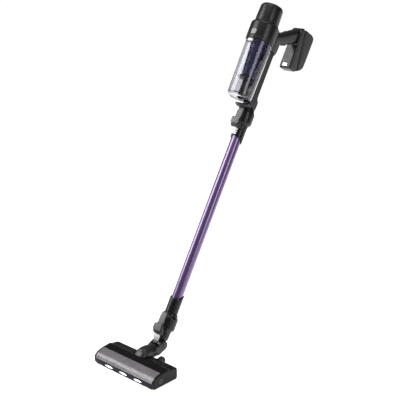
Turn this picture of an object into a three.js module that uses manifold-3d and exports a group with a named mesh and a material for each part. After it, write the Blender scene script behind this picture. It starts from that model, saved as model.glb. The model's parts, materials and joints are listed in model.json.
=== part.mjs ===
// Cordless stick vacuum: a motorised floor head, a coloured wand and a handheld unit with a clear dust cup.
// Millimetres, +Z up, -Y towards the front of the floor head, +X towards the belt side of the head.
// The origin is on the floor, under the middle of the glide strip of the floor head.
import * as THREE from "three";
import { mergeVertices } from "three/addons/utils/BufferGeometryUtils.js";
import Module from "manifold-3d";

const wasm = await Module();
wasm.setup();

// ---------- driving dimensions ----------

const GAP = 0.3; // between pieces that touch
const RUN = 0.4; // radial clearance of a piece that turns or slides
const WALL = 2.4; // wall of the moulded shells
const WELD = 1e-3; // vertices closer than this are one

// Brush roller and its drive, in the frame of the floor.
const PARTITION_Y = -24.5; // the wall between the brush chamber and the motor bay
const BRUSH_RADIUS = 17.6;
const BRUSH_REAR_GAP = 0.9; // from the bristles to the wall behind them
const BRUSH_FLOOR_GAP = 0.6;
const BRUSH_Y = PARTITION_Y - BRUSH_REAR_GAP - BRUSH_RADIUS;
const BRUSH_Z = BRUSH_RADIUS + BRUSH_FLOOR_GAP;
const BRISTLE_LENGTH = 6.6;
const BRUSH_CORE_RADIUS = BRUSH_RADIUS - BRISTLE_LENGTH;
const BRUSH_SHAFT_RADIUS = 3.5;
const BRUSH_PULLEY_RADIUS = BRUSH_CORE_RADIUS - 1.4;
const BRUSH_LOCK_RADIUS = 9;
const MOTOR_PULLEY_RADIUS = 6;
const MOTOR_RADIUS = 12.5;
const MOTOR_SHAFT_RADIUS = 2.5;
const MOTOR_Y = -2;
const MOTOR_Z = 21;
const BELT_THICKNESS = 1.4;
const BELT_WIDTH = 6;

// Floor head.
const HEAD_WIDTH = 250;
const HEAD_FRONT = BRUSH_Y - BRUSH_RADIUS - 14.4;
const HEAD_REAR = 22.5;
const CAP_THICKNESS = 6;
const BUMPER_TOP = 20;
const BUMPER_DEPTH = 6;
const WINDOW_REAR = BRUSH_Y + 3;
const WINDOW_TOP = BRUSH_Z + BRUSH_RADIUS + 5.6;
const RIDGE_Y = -12;
const RIDGE_TOP = WINDOW_TOP + 2.9;
const RIDGE_STEP = 2.6; // how far the deck lies below the ridge
const DECK_REAR_TOP = 36.6;
const SOLE_BOTTOM = 2;
const SOLE_THICKNESS = 3;
const GLIDE_WIDTH = 120;
const GLIDE_DEPTH = 12;
const BRUSH_LEFT = -(HEAD_WIDTH / 2 - CAP_THICKNESS - 12);
const BRUSH_RIGHT = HEAD_WIDTH / 2 - CAP_THICKNESS - 16; // leaves room for the belt

// Lights in the front bumper.
const LIGHT_SPACING = 61;
const LIGHT_LENGTH = 33;
const LIGHT_HEIGHT = 7.5;
const LIGHT_Z = 11;
const LIGHT_DEPTH = 3;

// Neck: the barrel turns about the Y axis at SWIVEL_Z, the wand hinges about the X axis at PIVOT.
const SWIVEL_Z = 40;
const SWIVEL_FRONT = -6;
const SWIVEL_SEAM = 28;
const SWIVEL_REAR = 60;
const COVER_RADIUS = 22;
const BARREL_RADIUS = COVER_RADIUS - 1;
const PIVOT_Y = 75;
const PIVOT_Z = 49.5;
const DRUM_RADIUS = 15;
const DRUM_HALF = 16;
const FORK_THICKNESS = 4.6;
const PIVOT_PIN_RADIUS = 4;
const LEAN = THREE.MathUtils.degToRad(31.2);

// Wheels behind the head.
const WHEEL_RADIUS = 15;
const WHEEL_WIDTH = 9;
const WHEEL_Y = 46;
const WHEEL_ARM_INNER_X = COVER_RADIUS + 2.5;
const WHEEL_ARM_THICKNESS = 4.4;
const WHEEL_INNER_X = WHEEL_ARM_INNER_X + WHEEL_ARM_THICKNESS + 1.1;
const AXLE_RADIUS = 3;

// Wand and couplings, in the wand's own frame: origin at the pivot, +Z up the wand, +Y to the rear.
const TUBE_RADIUS = 16.5;
const TUBE_WALL = 1.5;
const SLEEVE_RADIUS = TUBE_RADIUS + 3.5;
const FLARE_RADIUS = SLEEVE_RADIUS + 8;
const STEM_BORE = TUBE_RADIUS - 3.5;
const SOCKET_BASE = 27;
const SOCKET_RISE = 668; // from the lower socket to the upper one
const SOCKET_HEIGHT = 71;
const SOCKET_LIP = 10; // the plug stops on this shelf at the bottom of the socket
const PLUG_LENGTH = 60;
const LOWER_SLEEVE_TOP = SOCKET_BASE + SOCKET_HEIGHT + 61;
const UPPER_SLEEVE_BOTTOM = SOCKET_BASE + SOCKET_RISE - 40;
const SLEEVE_SLANT = 18; // how much further the rear of a sleeve reaches along the tube
const SLEEVE_GRIP = 30; // how far the upper end of the tube goes into its sleeve
const TUBE_SEAT = SOCKET_BASE + SOCKET_HEIGHT + 19;
const BUTTON_BAND_HALF = 13.5;
const BUTTON_STEM_HALF = 9.5;
const BUTTON_STEM_FRONT = FLARE_RADIUS + 2;
const BUTTON_BAND_FRONT = FLARE_RADIUS + 13;
const BUTTON_THICKNESS = 5;
const BUTTON_TRAVEL = 3;
const TAB_HALF = 9; // half the width of the white tabs

// Handheld unit, in a frame of its own: origin on the wand's axis at the top of the upper socket.
const CUP_HEIGHT = 181.6;
const CUP_TOP_RADIUS = 42.3;
const CUP_BOTTOM_RADIUS = CUP_TOP_RADIUS - 2.7;
const CUP_WALL = 2.2;
const FOOT_BOTTOM = -8;
const FOOT_TOP = 8;
const FOOT_RADIUS = 23;
const FOOT_Y = -32;
const CUP_BOTTOM = FOOT_TOP + 3;
const CUP_TOP = CUP_BOTTOM + CUP_HEIGHT;
const CUP_PIVOT_Y = -30; // the cup tips forward about this line on the foot
const CUP_TILT = THREE.MathUtils.degToRad(20);
const SPINE_HALF = 14;
const SPINE_REAR = 13;
const SPINE_FRONT = -16;
const SPINE_FLARE_REAR = 24;
const BODY_Y = SPINE_FRONT - 0.7 - CUP_TOP_RADIUS; // the axis of the cup, the collar and the motor
const INLET_LOW = CUP_TOP - 43.6;
const INLET_HIGH = CUP_TOP - 15.6;
const SHROUD_TOP_RADIUS = 23;
const SHROUD_BOTTOM_RADIUS = 15;
const SHROUD_BOTTOM = CUP_BOTTOM + 75;
const SHROUD_RIBS = 12;
const SKIRT_RADIUS = 27;
const STEM_RADIUS = 6.5;
const COLLAR_BOTTOM = CUP_TOP + 1.4;
const COLLAR_HEIGHT = 62;
const COLLAR_TOP = COLLAR_BOTTOM + COLLAR_HEIGHT;
const COLLAR_RADIUS = CUP_TOP_RADIUS + 2.7;
const CAP_HEIGHT = 61;
const CAP_TOP = COLLAR_TOP + CAP_HEIGHT;
const CAP_BASE_RADIUS = COLLAR_RADIUS - 7.4;
const CAP_TOP_RADIUS = CAP_BASE_RADIUS - 1.6;
const MOTOR_CAN_RADIUS = 32;
const ROTOR_RADIUS = 26;

// Handle, with heights above the bottom of the collar.
const POD_Y = -2; // the axis of the rounded pod behind the collar
const POD_SQUEEZE = 0.48; // its width over its depth
const ARM_HALF = 15;
const LEG_HALF = 22;
const LEG_FRONT = 97;
const BATTERY_HALF = 23;
const CELL_RADIUS = 8.75;
const CELL_LENGTH = 65;
const TRIGGER_HALF = 5;
const TRIGGER_LENGTH = 18;
const TRIGGER_DROP = 3;
const TRIGGER_TRAVEL = 2.5;
const MODE_BUTTON_RADIUS = 6;
const LATCH_HALF = 9;
const LATCH_LOW = -3.5;
const LATCH_HIGH = 6.5;

// ---------- materials ----------

const plastic = (color, roughness) => () =>
  new THREE.MeshStandardMaterial({ color, roughness, metalness: 0 });
const metal = (color, roughness) => () =>
  new THREE.MeshStandardMaterial({ color, roughness, metalness: 1 });
const clear = (color, opacity) => () =>
  new THREE.MeshStandardMaterial({ color, roughness: 0.08, metalness: 0, transparent: true, opacity });

const blackShell = plastic(0x1c1c1f, 0.42);
const greyShell = plastic(0x34343a, 0.5);
const whitePlastic = plastic(0xeeeef0, 0.4);
const purplePlastic = plastic(0x3d3170, 0.35);
const purpleTube = metal(0x6b5488, 0.3);
const clearPlastic = clear(0xe8ecf2, 0.3);
const smokyPlastic = clear(0x77767c, 0.55);
const lightLens = plastic(0xf6f9ff, 0.1);
const blackRubber = plastic(0x141416, 0.85);
const bristleFibre = plastic(0x70303c, 0.9);
const filterFoam = plastic(0xd9d9d2, 0.95);
const circuitBoard = plastic(0x1f5a34, 0.6);
const steel = metal(0xb9bbc0, 0.3);
const cellWrap = plastic(0x2f7d86, 0.4);

// ---------- solids ----------

// A closed geometry as a manifold solid, whichever way round its profile was drawn.
function solid(shape) {
  if (shape instanceof wasm.Manifold) return shape;
  const bare = new THREE.BufferGeometry();
  const loose = shape.index ? shape.toNonIndexed() : shape;
  bare.setAttribute("position", loose.getAttribute("position"));
  const merged = mergeVertices(bare, WELD);
  const triVerts = new Uint32Array(merged.index.array);
  const made = new wasm.Manifold(
    new wasm.Mesh({ numProp: 3, vertProperties: merged.attributes.position.array, triVerts }),
  );
  if (made.volume() > 0) return made;
  const turned = triVerts.slice();
  for (let i = 0; i < turned.length; i += 3) {
    turned[i] = triVerts[i + 1];
    turned[i + 1] = triVerts[i];
  }
  return new wasm.Manifold(
    new wasm.Mesh({ numProp: 3, vertProperties: merged.attributes.position.array, triVerts: turned }),
  );
}

const join = (first, ...more) => more.reduce((sum, next) => sum.add(solid(next)), solid(first));
const cut = (first, ...tools) => tools.reduce((rest, tool) => rest.subtract(solid(tool)), solid(first));
const keep = (first, region) => solid(first).intersect(solid(region));

// A manifold solid as a flat-shaded three.js geometry.
function geometryOf(made) {
  const mesh = made.getMesh();
  const geometry = new THREE.BufferGeometry();
  geometry.setAttribute("position", new THREE.BufferAttribute(new Float32Array(mesh.vertProperties), 3));
  geometry.setIndex(new THREE.BufferAttribute(new Uint32Array(mesh.triVerts), 1));
  const flat = geometry.toNonIndexed();
  flat.computeVertexNormals();
  return flat;
}

function piece(name, shape, material) {
  const mesh = new THREE.Mesh(geometryOf(solid(shape)), material());
  mesh.name = name;
  return mesh;
}

// ---------- outlines and simple bodies ----------

function outline(points) {
  return new THREE.Shape(points.map(([a, b]) => new THREE.Vector2(a, b)));
}

function circle(radius, a = 0, b = 0) {
  return new THREE.Shape().absarc(a, b, radius, 0, 2 * Math.PI, false);
}

// Two circles held together by a taut band.
function bandOutline([a0, b0], r0, [a1, b1], r1) {
  const span = Math.hypot(a1 - a0, b1 - b0);
  const along = Math.atan2(b1 - b0, a1 - a0);
  const spread = Math.acos((r0 - r1) / span);
  const shape = new THREE.Shape();
  shape.absarc(a0, b0, r0, along + spread, along - spread + 2 * Math.PI, false);
  shape.absarc(a1, b1, r1, along - spread, along + spread, false);
  return shape;
}

// The points of a convex outline, each edge moved inwards by a wall.
function inset(points, wall) {
  const count = points.length;
  const area = points.reduce((sum, [a, b], i) => {
    const [c, d] = points[(i + 1) % count];
    return sum + a * d - c * b;
  }, 0);
  const side = Math.sign(area);
  const edges = points.map(([a, b], i) => {
    const [c, d] = points[(i + 1) % count];
    const length = Math.hypot(c - a, d - b);
    const normal = [(-(d - b) / length) * side, ((c - a) / length) * side];
    return { from: [a + normal[0] * wall, b + normal[1] * wall], way: [c - a, d - b] };
  });
  return edges.map((edge, i) => {
    const before = edges[(i + count - 1) % count];
    const cross = before.way[0] * edge.way[1] - before.way[1] * edge.way[0];
    const across = [edge.from[0] - before.from[0], edge.from[1] - before.from[1]];
    const t = (across[0] * edge.way[1] - across[1] * edge.way[0]) / cross;
    return [before.from[0] + before.way[0] * t, before.from[1] + before.way[1] * t];
  });
}

function extrude(shape, depth, sides) {
  return new THREE.ExtrudeGeometry(shape, { depth, bevelEnabled: false, curveSegments: sides });
}

// Extrusions of an outline drawn in (y, z), (x, z) or (x, y), along the remaining axis.
function alongX(shape, x0, x1, sides = 6) {
  const basis = new THREE.Matrix4().makeBasis(
    new THREE.Vector3(0, 1, 0),
    new THREE.Vector3(0, 0, 1),
    new THREE.Vector3(1, 0, 0),
  );
  return extrude(shape, x1 - x0, sides).applyMatrix4(basis).translate(x0, 0, 0);
}

function alongY(shape, y0, y1, sides = 6) {
  return extrude(shape, y1 - y0, sides).rotateX(Math.PI / 2).translate(0, y1, 0);
}

function alongZ(shape, z0, z1, sides = 6) {
  return extrude(shape, z1 - z0, sides).translate(0, 0, z0);
}

const rodX = (radius, x0, x1, y, z, sides = 12) => alongX(circle(radius, y, z), x0, x1, sides);
const rodY = (radius, y0, y1, x, z, sides = 12) => alongY(circle(radius, x, z), y0, y1, sides);
const rodZ = (radius, z0, z1, x = 0, y = 0, sides = 12) => alongZ(circle(radius, x, y), z0, z1, sides);

function block(x0, x1, y0, y1, z0, z1) {
  return new THREE.BoxGeometry(x1 - x0, y1 - y0, z1 - z0).translate(
    (x0 + x1) / 2,
    (y0 + y1) / 2,
    (z0 + z1) / 2,
  );
}

// A profile of [radius, height] points turned about the Z axis. It starts and ends on the axis or closes
// on itself.
function turned(profile, sides = 24) {
  const points = profile.map(([radius, height]) => new THREE.Vector2(radius, height));
  return new THREE.LatheGeometry(points, sides).rotateX(Math.PI / 2);
}

const ring = (inner, outer, z0, z1, sides) =>
  turned([[inner, z0], [outer, z0], [outer, z1], [inner, z1], [inner, z0]], sides);

// A body drawn with its Z axis along the swivel, laid down so that its height runs along +Y.
function alongSwivel(geometry) {
  return geometry.rotateX(-Math.PI / 2).translate(0, 0, SWIVEL_Z);
}

// A body drawn level, tipped up by an angle about X and set at (y, z).
function tipped(geometry, angle, y, z) {
  return geometry.rotateX(angle).translate(0, y, z);
}

// A round wire spring. The wire's path is a helix about Z.
function coilSpring(radius, wire, length, turns) {
  const stepsPerTurn = 8;
  const points = Array.from({ length: turns * stepsPerTurn + 1 }, (_, i) => {
    const angle = (i / stepsPerTurn) * 2 * Math.PI;
    return new THREE.Vector3(
      radius * Math.cos(angle),
      radius * Math.sin(angle),
      wire + (i / (turns * stepsPerTurn)) * (length - 2 * wire),
    );
  });
  return new THREE.ExtrudeGeometry(circle(wire), {
    steps: turns * stepsPerTurn,
    extrudePath: new THREE.CatmullRomCurve3(points),
    bevelEnabled: false,
    curveSegments: 2,
  });
}

// ---------- floor head ----------

const HALF_WIDTH = HEAD_WIDTH / 2;
const SHELL_HALF = HALF_WIDTH - CAP_THICKNESS - GAP; // the shells between the two end caps
const SHELL_BOTTOM = SOLE_BOTTOM + SOLE_THICKNESS + GAP;

// The curve of the clear window, from the bumper to the top, moved inwards by a wall.
function windowCurve(shape, wall, start) {
  const lift = WINDOW_TOP - BUMPER_TOP;
  const bulge = [HEAD_FRONT + 1.5 + wall, BUMPER_TOP + lift * 0.79 - wall];
  const end = [WINDOW_REAR, WINDOW_TOP - wall];
  if (start === "front") shape.quadraticCurveTo(bulge[0], bulge[1], end[0], end[1]);
  else shape.quadraticCurveTo(bulge[0], bulge[1], HEAD_FRONT + wall, BUMPER_TOP + GAP);
}

function endCapOutline() {
  const chin = 5;
  const shape = new THREE.Shape();
  shape.moveTo(HEAD_FRONT, SOLE_BOTTOM + chin);
  shape.lineTo(HEAD_FRONT, BUMPER_TOP + GAP);
  windowCurve(shape, 0, "front");
  shape.lineTo(RIDGE_Y, RIDGE_TOP);
  shape.lineTo(RIDGE_Y + 4, RIDGE_TOP - RIDGE_STEP);
  shape.lineTo(HEAD_REAR - 4, DECK_REAR_TOP);
  shape.quadraticCurveTo(HEAD_REAR, DECK_REAR_TOP - 0.5, HEAD_REAR, DECK_REAR_TOP - 5);
  shape.lineTo(HEAD_REAR, SOLE_BOTTOM + chin);
  shape.lineTo(HEAD_REAR - chin, SOLE_BOTTOM);
  shape.lineTo(HEAD_FRONT + chin, SOLE_BOTTOM);
  return shape;
}

// Roof, rear wall and the wall between the brush chamber and the motor bay, open at the bottom.
function housingOutline() {
  const inner = HEAD_REAR - WALL;
  return outline([
    [WINDOW_REAR + GAP, WINDOW_TOP],
    [RIDGE_Y, RIDGE_TOP],
    [RIDGE_Y + 4, RIDGE_TOP - RIDGE_STEP],
    [HEAD_REAR - 4, DECK_REAR_TOP],
    [HEAD_REAR, DECK_REAR_TOP - 4],
    [HEAD_REAR, SHELL_BOTTOM],
    [inner, SHELL_BOTTOM],
    [inner, DECK_REAR_TOP - WALL - 3],
    [inner - 2.6, DECK_REAR_TOP - WALL],
    [RIDGE_Y + 3.4, RIDGE_TOP - RIDGE_STEP - WALL],
    [PARTITION_Y + WALL, RIDGE_TOP - RIDGE_STEP - WALL],
    [PARTITION_Y + WALL, SHELL_BOTTOM],
    [PARTITION_Y, SHELL_BOTTOM],
    [PARTITION_Y, WINDOW_TOP - WALL],
    [WINDOW_REAR + GAP, WINDOW_TOP - WALL],
  ]);
}

// One of the two arms that hold a wheel behind the head. side is -1 or 1.
function wheelArm(side) {
  const x0 = WHEEL_ARM_INNER_X;
  const x1 = WHEEL_ARM_INNER_X + WHEEL_ARM_THICKNESS;
  const shape = bandOutline([HEAD_REAR - 1, 17], 9, [WHEEL_Y, WHEEL_RADIUS], 7);
  return side > 0 ? alongX(shape, x0, x1) : alongX(shape, -x1, -x0);
}

function headHousing() {
  const shell = alongX(housingOutline(), -SHELL_HALF, SHELL_HALF);
  const arms = join(wheelArm(-1), wheelArm(1));
  const saddle = rodY(COVER_RADIUS + RUN, SWIVEL_FRONT - 3, SWIVEL_REAR, 0, SWIVEL_Z, 14);
  const airHole = rodY(9, PARTITION_Y - 1, PARTITION_Y + WALL + 1, 0, SWIVEL_Z - 13);
  const axleHole = rodX(AXLE_RADIUS + GAP, -WHEEL_INNER_X, WHEEL_INNER_X, WHEEL_Y, WHEEL_RADIUS, 8);
  const bay = block(-SHELL_HALF, SHELL_HALF, PARTITION_Y + WALL + 1, HEAD_REAR - WALL, 0, DECK_REAR_TOP - 8);
  return cut(join(shell, cut(arms, bay)), saddle, airHole, axleHole);
}

function brushWindow() {
  const shape = new THREE.Shape();
  shape.moveTo(HEAD_FRONT, BUMPER_TOP + GAP);
  windowCurve(shape, 0, "front");
  shape.lineTo(WINDOW_REAR, WINDOW_TOP - WALL);
  windowCurve(shape, WALL, "rear");
  return alongX(shape, -SHELL_HALF, SHELL_HALF, 10);
}

// A pointed oval, as long as a light and as tall, grown by a clearance.
function lightOutline(x, grow) {
  const half = LIGHT_LENGTH / 2 + grow;
  const high = LIGHT_HEIGHT + 2 * grow;
  const shape = new THREE.Shape();
  shape.moveTo(x - half, LIGHT_Z);
  shape.quadraticCurveTo(x, LIGHT_Z + high, x + half, LIGHT_Z);
  shape.quadraticCurveTo(x, LIGHT_Z - high, x - half, LIGHT_Z);
  return shape;
}

function bumperBar(lightXs) {
  const rear = HEAD_FRONT + BUMPER_DEPTH;
  const bar = block(-SHELL_HALF, SHELL_HALF, HEAD_FRONT, rear, SHELL_BOTTOM, BUMPER_TOP);
  const pockets = lightXs.map((x) =>
    alongY(lightOutline(x, GAP), HEAD_FRONT - 1, HEAD_FRONT + LIGHT_DEPTH + GAP, 5),
  );
  return cut(bar, ...pockets);
}

function solePlate() {
  const rim = 10;
  const plate = block(
    -SHELL_HALF, SHELL_HALF, HEAD_FRONT + 1, HEAD_REAR, SOLE_BOTTOM, SOLE_BOTTOM + SOLE_THICKNESS,
  );
  const mouth = block(
    BRUSH_LEFT - 1, BRUSH_RIGHT + 1, HEAD_FRONT + rim, PARTITION_Y - 1, 0, SHELL_BOTTOM,
  );
  return cut(plate, mouth);
}

function endCap(side) {
  const outer = HALF_WIDTH;
  const inner = HALF_WIDTH - CAP_THICKNESS;
  const cap = side > 0
    ? alongX(endCapOutline(), inner, outer, 8)
    : alongX(endCapOutline(), -outer, -inner, 8);
  const journal = side > 0
    ? rodX(BRUSH_SHAFT_RADIUS + RUN, inner - 1, inner + 3, BRUSH_Y, BRUSH_Z)
    : rodX(BRUSH_SHAFT_RADIUS + RUN, -inner - 3, -inner + 1, BRUSH_Y, BRUSH_Z);
  if (side < 0) return cut(cap, journal);
  const lockSeat = rodX(BRUSH_LOCK_RADIUS + RUN, outer - 2, outer + 1, BRUSH_Y, BRUSH_Z);
  return cut(cap, journal, lockSeat);
}

function brushCore() {
  const core = rodX(BRUSH_CORE_RADIUS, BRUSH_LEFT, BRUSH_RIGHT, BRUSH_Y, BRUSH_Z);
  const reach = HALF_WIDTH - CAP_THICKNESS + 2.5;
  const shaft = rodX(BRUSH_SHAFT_RADIUS, -reach, reach, BRUSH_Y, BRUSH_Z);
  return join(core, shaft);
}

// A strip of bristles wound half a turn round the core. phase is where it starts, in radians.
function bristleStrip(phase) {
  const root = BRUSH_CORE_RADIUS + GAP;
  const length = BRUSH_RIGHT - BRUSH_LEFT - 4;
  const strip = new THREE.BoxGeometry(length, 3.2, BRUSH_RADIUS - root, 14, 1, 1);
  strip.translate(0, 0, (BRUSH_RADIUS + root) / 2);
  const place = strip.getAttribute("position");
  for (let i = 0; i < place.count; i += 1) {
    const angle = phase + (place.getX(i) / length) * Math.PI;
    const y = place.getY(i);
    const z = place.getZ(i);
    place.setY(i, y * Math.cos(angle) - z * Math.sin(angle));
    place.setZ(i, y * Math.sin(angle) + z * Math.cos(angle));
  }
  return strip.translate((BRUSH_LEFT + BRUSH_RIGHT) / 2, BRUSH_Y, BRUSH_Z);
}

const BELT_X = BRUSH_RIGHT + 2;

function brushPulley() {
  const wheel = rodX(BRUSH_PULLEY_RADIUS, BELT_X, BELT_X + BELT_WIDTH + 1, BRUSH_Y, BRUSH_Z);
  const bore = rodX(BRUSH_SHAFT_RADIUS + GAP, BELT_X - 1, BELT_X + BELT_WIDTH + 2, BRUSH_Y, BRUSH_Z);
  return cut(wheel, bore);
}

function motorPulley() {
  const wheel = rodX(MOTOR_PULLEY_RADIUS, BELT_X, BELT_X + BELT_WIDTH + 1, MOTOR_Y, MOTOR_Z);
  const shaft = rodX(MOTOR_SHAFT_RADIUS, BELT_X - 12, BELT_X + 1, MOTOR_Y, MOTOR_Z, 6);
  return join(wheel, shaft);
}

function driveBelt() {
  const brush = [BRUSH_Y, BRUSH_Z];
  const motor = [MOTOR_Y, MOTOR_Z];
  const grow = (radius, more) => radius + RUN + more;
  const outer = bandOutline(
    brush, grow(BRUSH_PULLEY_RADIUS, BELT_THICKNESS), motor, grow(MOTOR_PULLEY_RADIUS, BELT_THICKNESS),
  );
  const inner = bandOutline(brush, grow(BRUSH_PULLEY_RADIUS, 0), motor, grow(MOTOR_PULLEY_RADIUS, 0));
  const width = [BELT_X + 0.5, BELT_X + 0.5 + BELT_WIDTH];
  return cut(alongX(outer, width[0], width[1], 10), alongX(inner, width[0] - 1, width[1] + 1, 10));
}

function brushMotor() {
  const right = BELT_X - 5;
  const left = COVER_RADIUS + 16;
  const can = rodX(MOTOR_RADIUS, left, right, MOTOR_Y, MOTOR_Z);
  const shaftHole = rodX(MOTOR_SHAFT_RADIUS + RUN, right - 10, right + 1, MOTOR_Y, MOTOR_Z, 6);
  return cut(can, shaftHole);
}

// The slot that lets the belt through the wall of the brush chamber.
function beltSlot() {
  const side = 1.5;
  return block(
    BELT_X - side, BELT_X + BELT_WIDTH + side + 1, PARTITION_Y - 1, PARTITION_Y + WALL + 1,
    SHELL_BOTTOM, BRUSH_Z + BRUSH_PULLEY_RADIUS + 5,
  );
}

function brushLock() {
  const outer = HALF_WIDTH;
  const disc = rodX(BRUSH_LOCK_RADIUS, outer - 2 + GAP, outer - GAP, BRUSH_Y, BRUSH_Z);
  const coinSlot = block(
    outer - 1, outer + 1, BRUSH_Y - 1, BRUSH_Y + 1, BRUSH_Z - BRUSH_LOCK_RADIUS + 2,
    BRUSH_Z + BRUSH_LOCK_RADIUS - 2,
  );
  return cut(disc, coinSlot);
}

function wheel(side) {
  const x0 = side > 0 ? WHEEL_INNER_X : -WHEEL_INNER_X - WHEEL_WIDTH;
  const tyre = rodX(WHEEL_RADIUS, x0, x0 + WHEEL_WIDTH, WHEEL_Y, WHEEL_RADIUS);
  const bore = rodX(AXLE_RADIUS + RUN, x0 - 1, x0 + WHEEL_WIDTH + 1, WHEEL_Y, WHEEL_RADIUS, 8);
  return cut(tyre, bore);
}

function wheelAxle(side) {
  const inner = WHEEL_ARM_INNER_X + 0.5;
  const outer = WHEEL_INNER_X + WHEEL_WIDTH;
  const head = 1.6;
  const pin = side > 0
    ? rodX(AXLE_RADIUS, inner, outer + head, WHEEL_Y, WHEEL_RADIUS, 8)
    : rodX(AXLE_RADIUS, -outer - head, -inner, WHEEL_Y, WHEEL_RADIUS, 8);
  const cap = side > 0
    ? rodX(5.5, outer + GAP, outer + head, WHEEL_Y, WHEEL_RADIUS, 8)
    : rodX(5.5, -outer - head, -outer - GAP, WHEEL_Y, WHEEL_RADIUS, 8);
  return join(pin, cap);
}

function glideStrip() {
  return block(-GLIDE_WIDTH / 2, GLIDE_WIDTH / 2, -GLIDE_DEPTH / 2, GLIDE_DEPTH / 2, 0, SOLE_BOTTOM - GAP);
}

function lightBoard() {
  const front = HEAD_FRONT + BUMPER_DEPTH + GAP;
  const half = LIGHT_SPACING + LIGHT_LENGTH / 2 + 3;
  return block(-half, half, front, front + 1.4, SHELL_BOTTOM + 0.5, BUMPER_TOP - 2);
}

// The fixed dome over the front of the swivel, hollow for the air.
function swivelCover() {
  const bore = COVER_RADIUS - WALL;
  return alongSwivel(turned([
    [10, SWIVEL_FRONT],
    [COVER_RADIUS - 5, SWIVEL_FRONT + 1.5],
    [COVER_RADIUS - 1, SWIVEL_FRONT + 6],
    [COVER_RADIUS, SWIVEL_FRONT + 13],
    [COVER_RADIUS, SWIVEL_SEAM - GAP],
    [bore, SWIVEL_SEAM - GAP],
    [bore, SWIVEL_FRONT + 9],
    [10, SWIVEL_FRONT + 4],
    [10, SWIVEL_FRONT],
  ]));
}

// ---------- neck ----------

function forkArm(side) {
  const x0 = DRUM_HALF + RUN;
  const x1 = x0 + FORK_THICKNESS;
  const shape = bandOutline([SWIVEL_SEAM + 24, SWIVEL_Z + 1], 13, [PIVOT_Y, PIVOT_Z], 13.5);
  return side > 0 ? alongX(shape, x0, x1, 8) : alongX(shape, -x1, -x0, 8);
}

function swivelBarrel() {
  const journal = COVER_RADIUS - WALL - RUN;
  const bore = journal - 2;
  const barrel = alongSwivel(turned([
    [bore, SWIVEL_FRONT + 11],
    [journal, SWIVEL_FRONT + 11],
    [journal, SWIVEL_SEAM],
    [BARREL_RADIUS, SWIVEL_SEAM],
    [BARREL_RADIUS, SWIVEL_REAR - 3],
    [BARREL_RADIUS - 3, SWIVEL_REAR],
    [bore, SWIVEL_REAR],
    [bore, SWIVEL_FRONT + 11],
  ]));
  const room = rodX(DRUM_RADIUS + 9, -DRUM_HALF - RUN, DRUM_HALF + RUN, PIVOT_Y, PIVOT_Z, 12);
  // A notch in the top of the rim, for the release tab when the wand stands upright.
  const notch = rodX(SLEEVE_RADIUS + 8.4, -TAB_HALF - RUN, TAB_HALF + RUN, PIVOT_Y, PIVOT_Z, 12);
  const reach = DRUM_HALF + FORK_THICKNESS + 2;
  const pinHole = rodX(PIVOT_PIN_RADIUS + GAP, -reach, reach, PIVOT_Y, PIVOT_Z, 8);
  return cut(join(barrel, forkArm(-1), forkArm(1)), room, notch, pinHole);
}

function pivotPin(side) {
  const inner = DRUM_HALF - 5;
  const outer = DRUM_HALF + FORK_THICKNESS + RUN;
  const head = 1.8;
  const shape = side > 0
    ? [rodX(PIVOT_PIN_RADIUS, inner, outer + head, PIVOT_Y, PIVOT_Z, 8),
       rodX(7, outer + GAP, outer + head, PIVOT_Y, PIVOT_Z, 8)]
    : [rodX(PIVOT_PIN_RADIUS, -outer - head, -inner, PIVOT_Y, PIVOT_Z, 8),
       rodX(7, -outer - head, -outer - GAP, PIVOT_Y, PIVOT_Z, 8)];
  return join(...shape);
}

// ---------- couplings and wand, in the wand's frame ----------

function elbowStem() {
  const top = SOCKET_BASE - GAP;
  const drum = rodX(DRUM_RADIUS, -DRUM_HALF, DRUM_HALF, 0, 0);
  const stem = turned([
    [0, 4], [DRUM_HALF, 4], [DRUM_HALF, 16], [SLEEVE_RADIUS, 19], [SLEEVE_RADIUS, top], [0, top],
  ]);
  const bore = rodZ(9.5, -3, 17);
  const widerBore = rodZ(STEM_BORE, 16.9, top + 1);
  const duct = tipped(rodY(9, -DRUM_RADIUS - 3, 0, 0, 0), LEAN, 0, 0);
  const pinHole = rodX(PIVOT_PIN_RADIUS + RUN, DRUM_HALF - 5.5, DRUM_HALF + 1, 0, 0, 8);
  const farPinHole = rodX(PIVOT_PIN_RADIUS + RUN, -DRUM_HALF - 1, -DRUM_HALF + 5.5, 0, 0, 8);
  return cut(join(drum, stem), bore, widerBore, duct, pinHole, farPinHole);
}

// The T-shaped button on the front of a socket: a wide band, a narrow stem above it and the bridge between.
function releaseButton(base) {
  const band = block(
    -BUTTON_BAND_HALF, BUTTON_BAND_HALF, -BUTTON_BAND_FRONT, -BUTTON_BAND_FRONT + BUTTON_THICKNESS,
    base + 10, base + 30,
  );
  const stem = block(
    -BUTTON_STEM_HALF, BUTTON_STEM_HALF, -BUTTON_STEM_FRONT, -BUTTON_STEM_FRONT + BUTTON_THICKNESS,
    base + 34, base + 66.5,
  );
  const bridge = block(
    -BUTTON_STEM_HALF, BUTTON_STEM_HALF, -BUTTON_BAND_FRONT, -BUTTON_STEM_FRONT + BUTTON_THICKNESS,
    base + 28, base + 36,
  );
  return join(band, stem, bridge);
}

// What a button presses towards: its back face, at the end of its travel, with a gap.
const BAND_STOP = -BUTTON_BAND_FRONT + BUTTON_THICKNESS + BUTTON_TRAVEL + GAP;
const STEM_STOP = -BUTTON_STEM_FRONT + BUTTON_THICKNESS + BUTTON_TRAVEL + GAP;
const SPRING_FLOOR = -SLEEVE_RADIUS - 2; // the bottom of the spring's well

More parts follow.
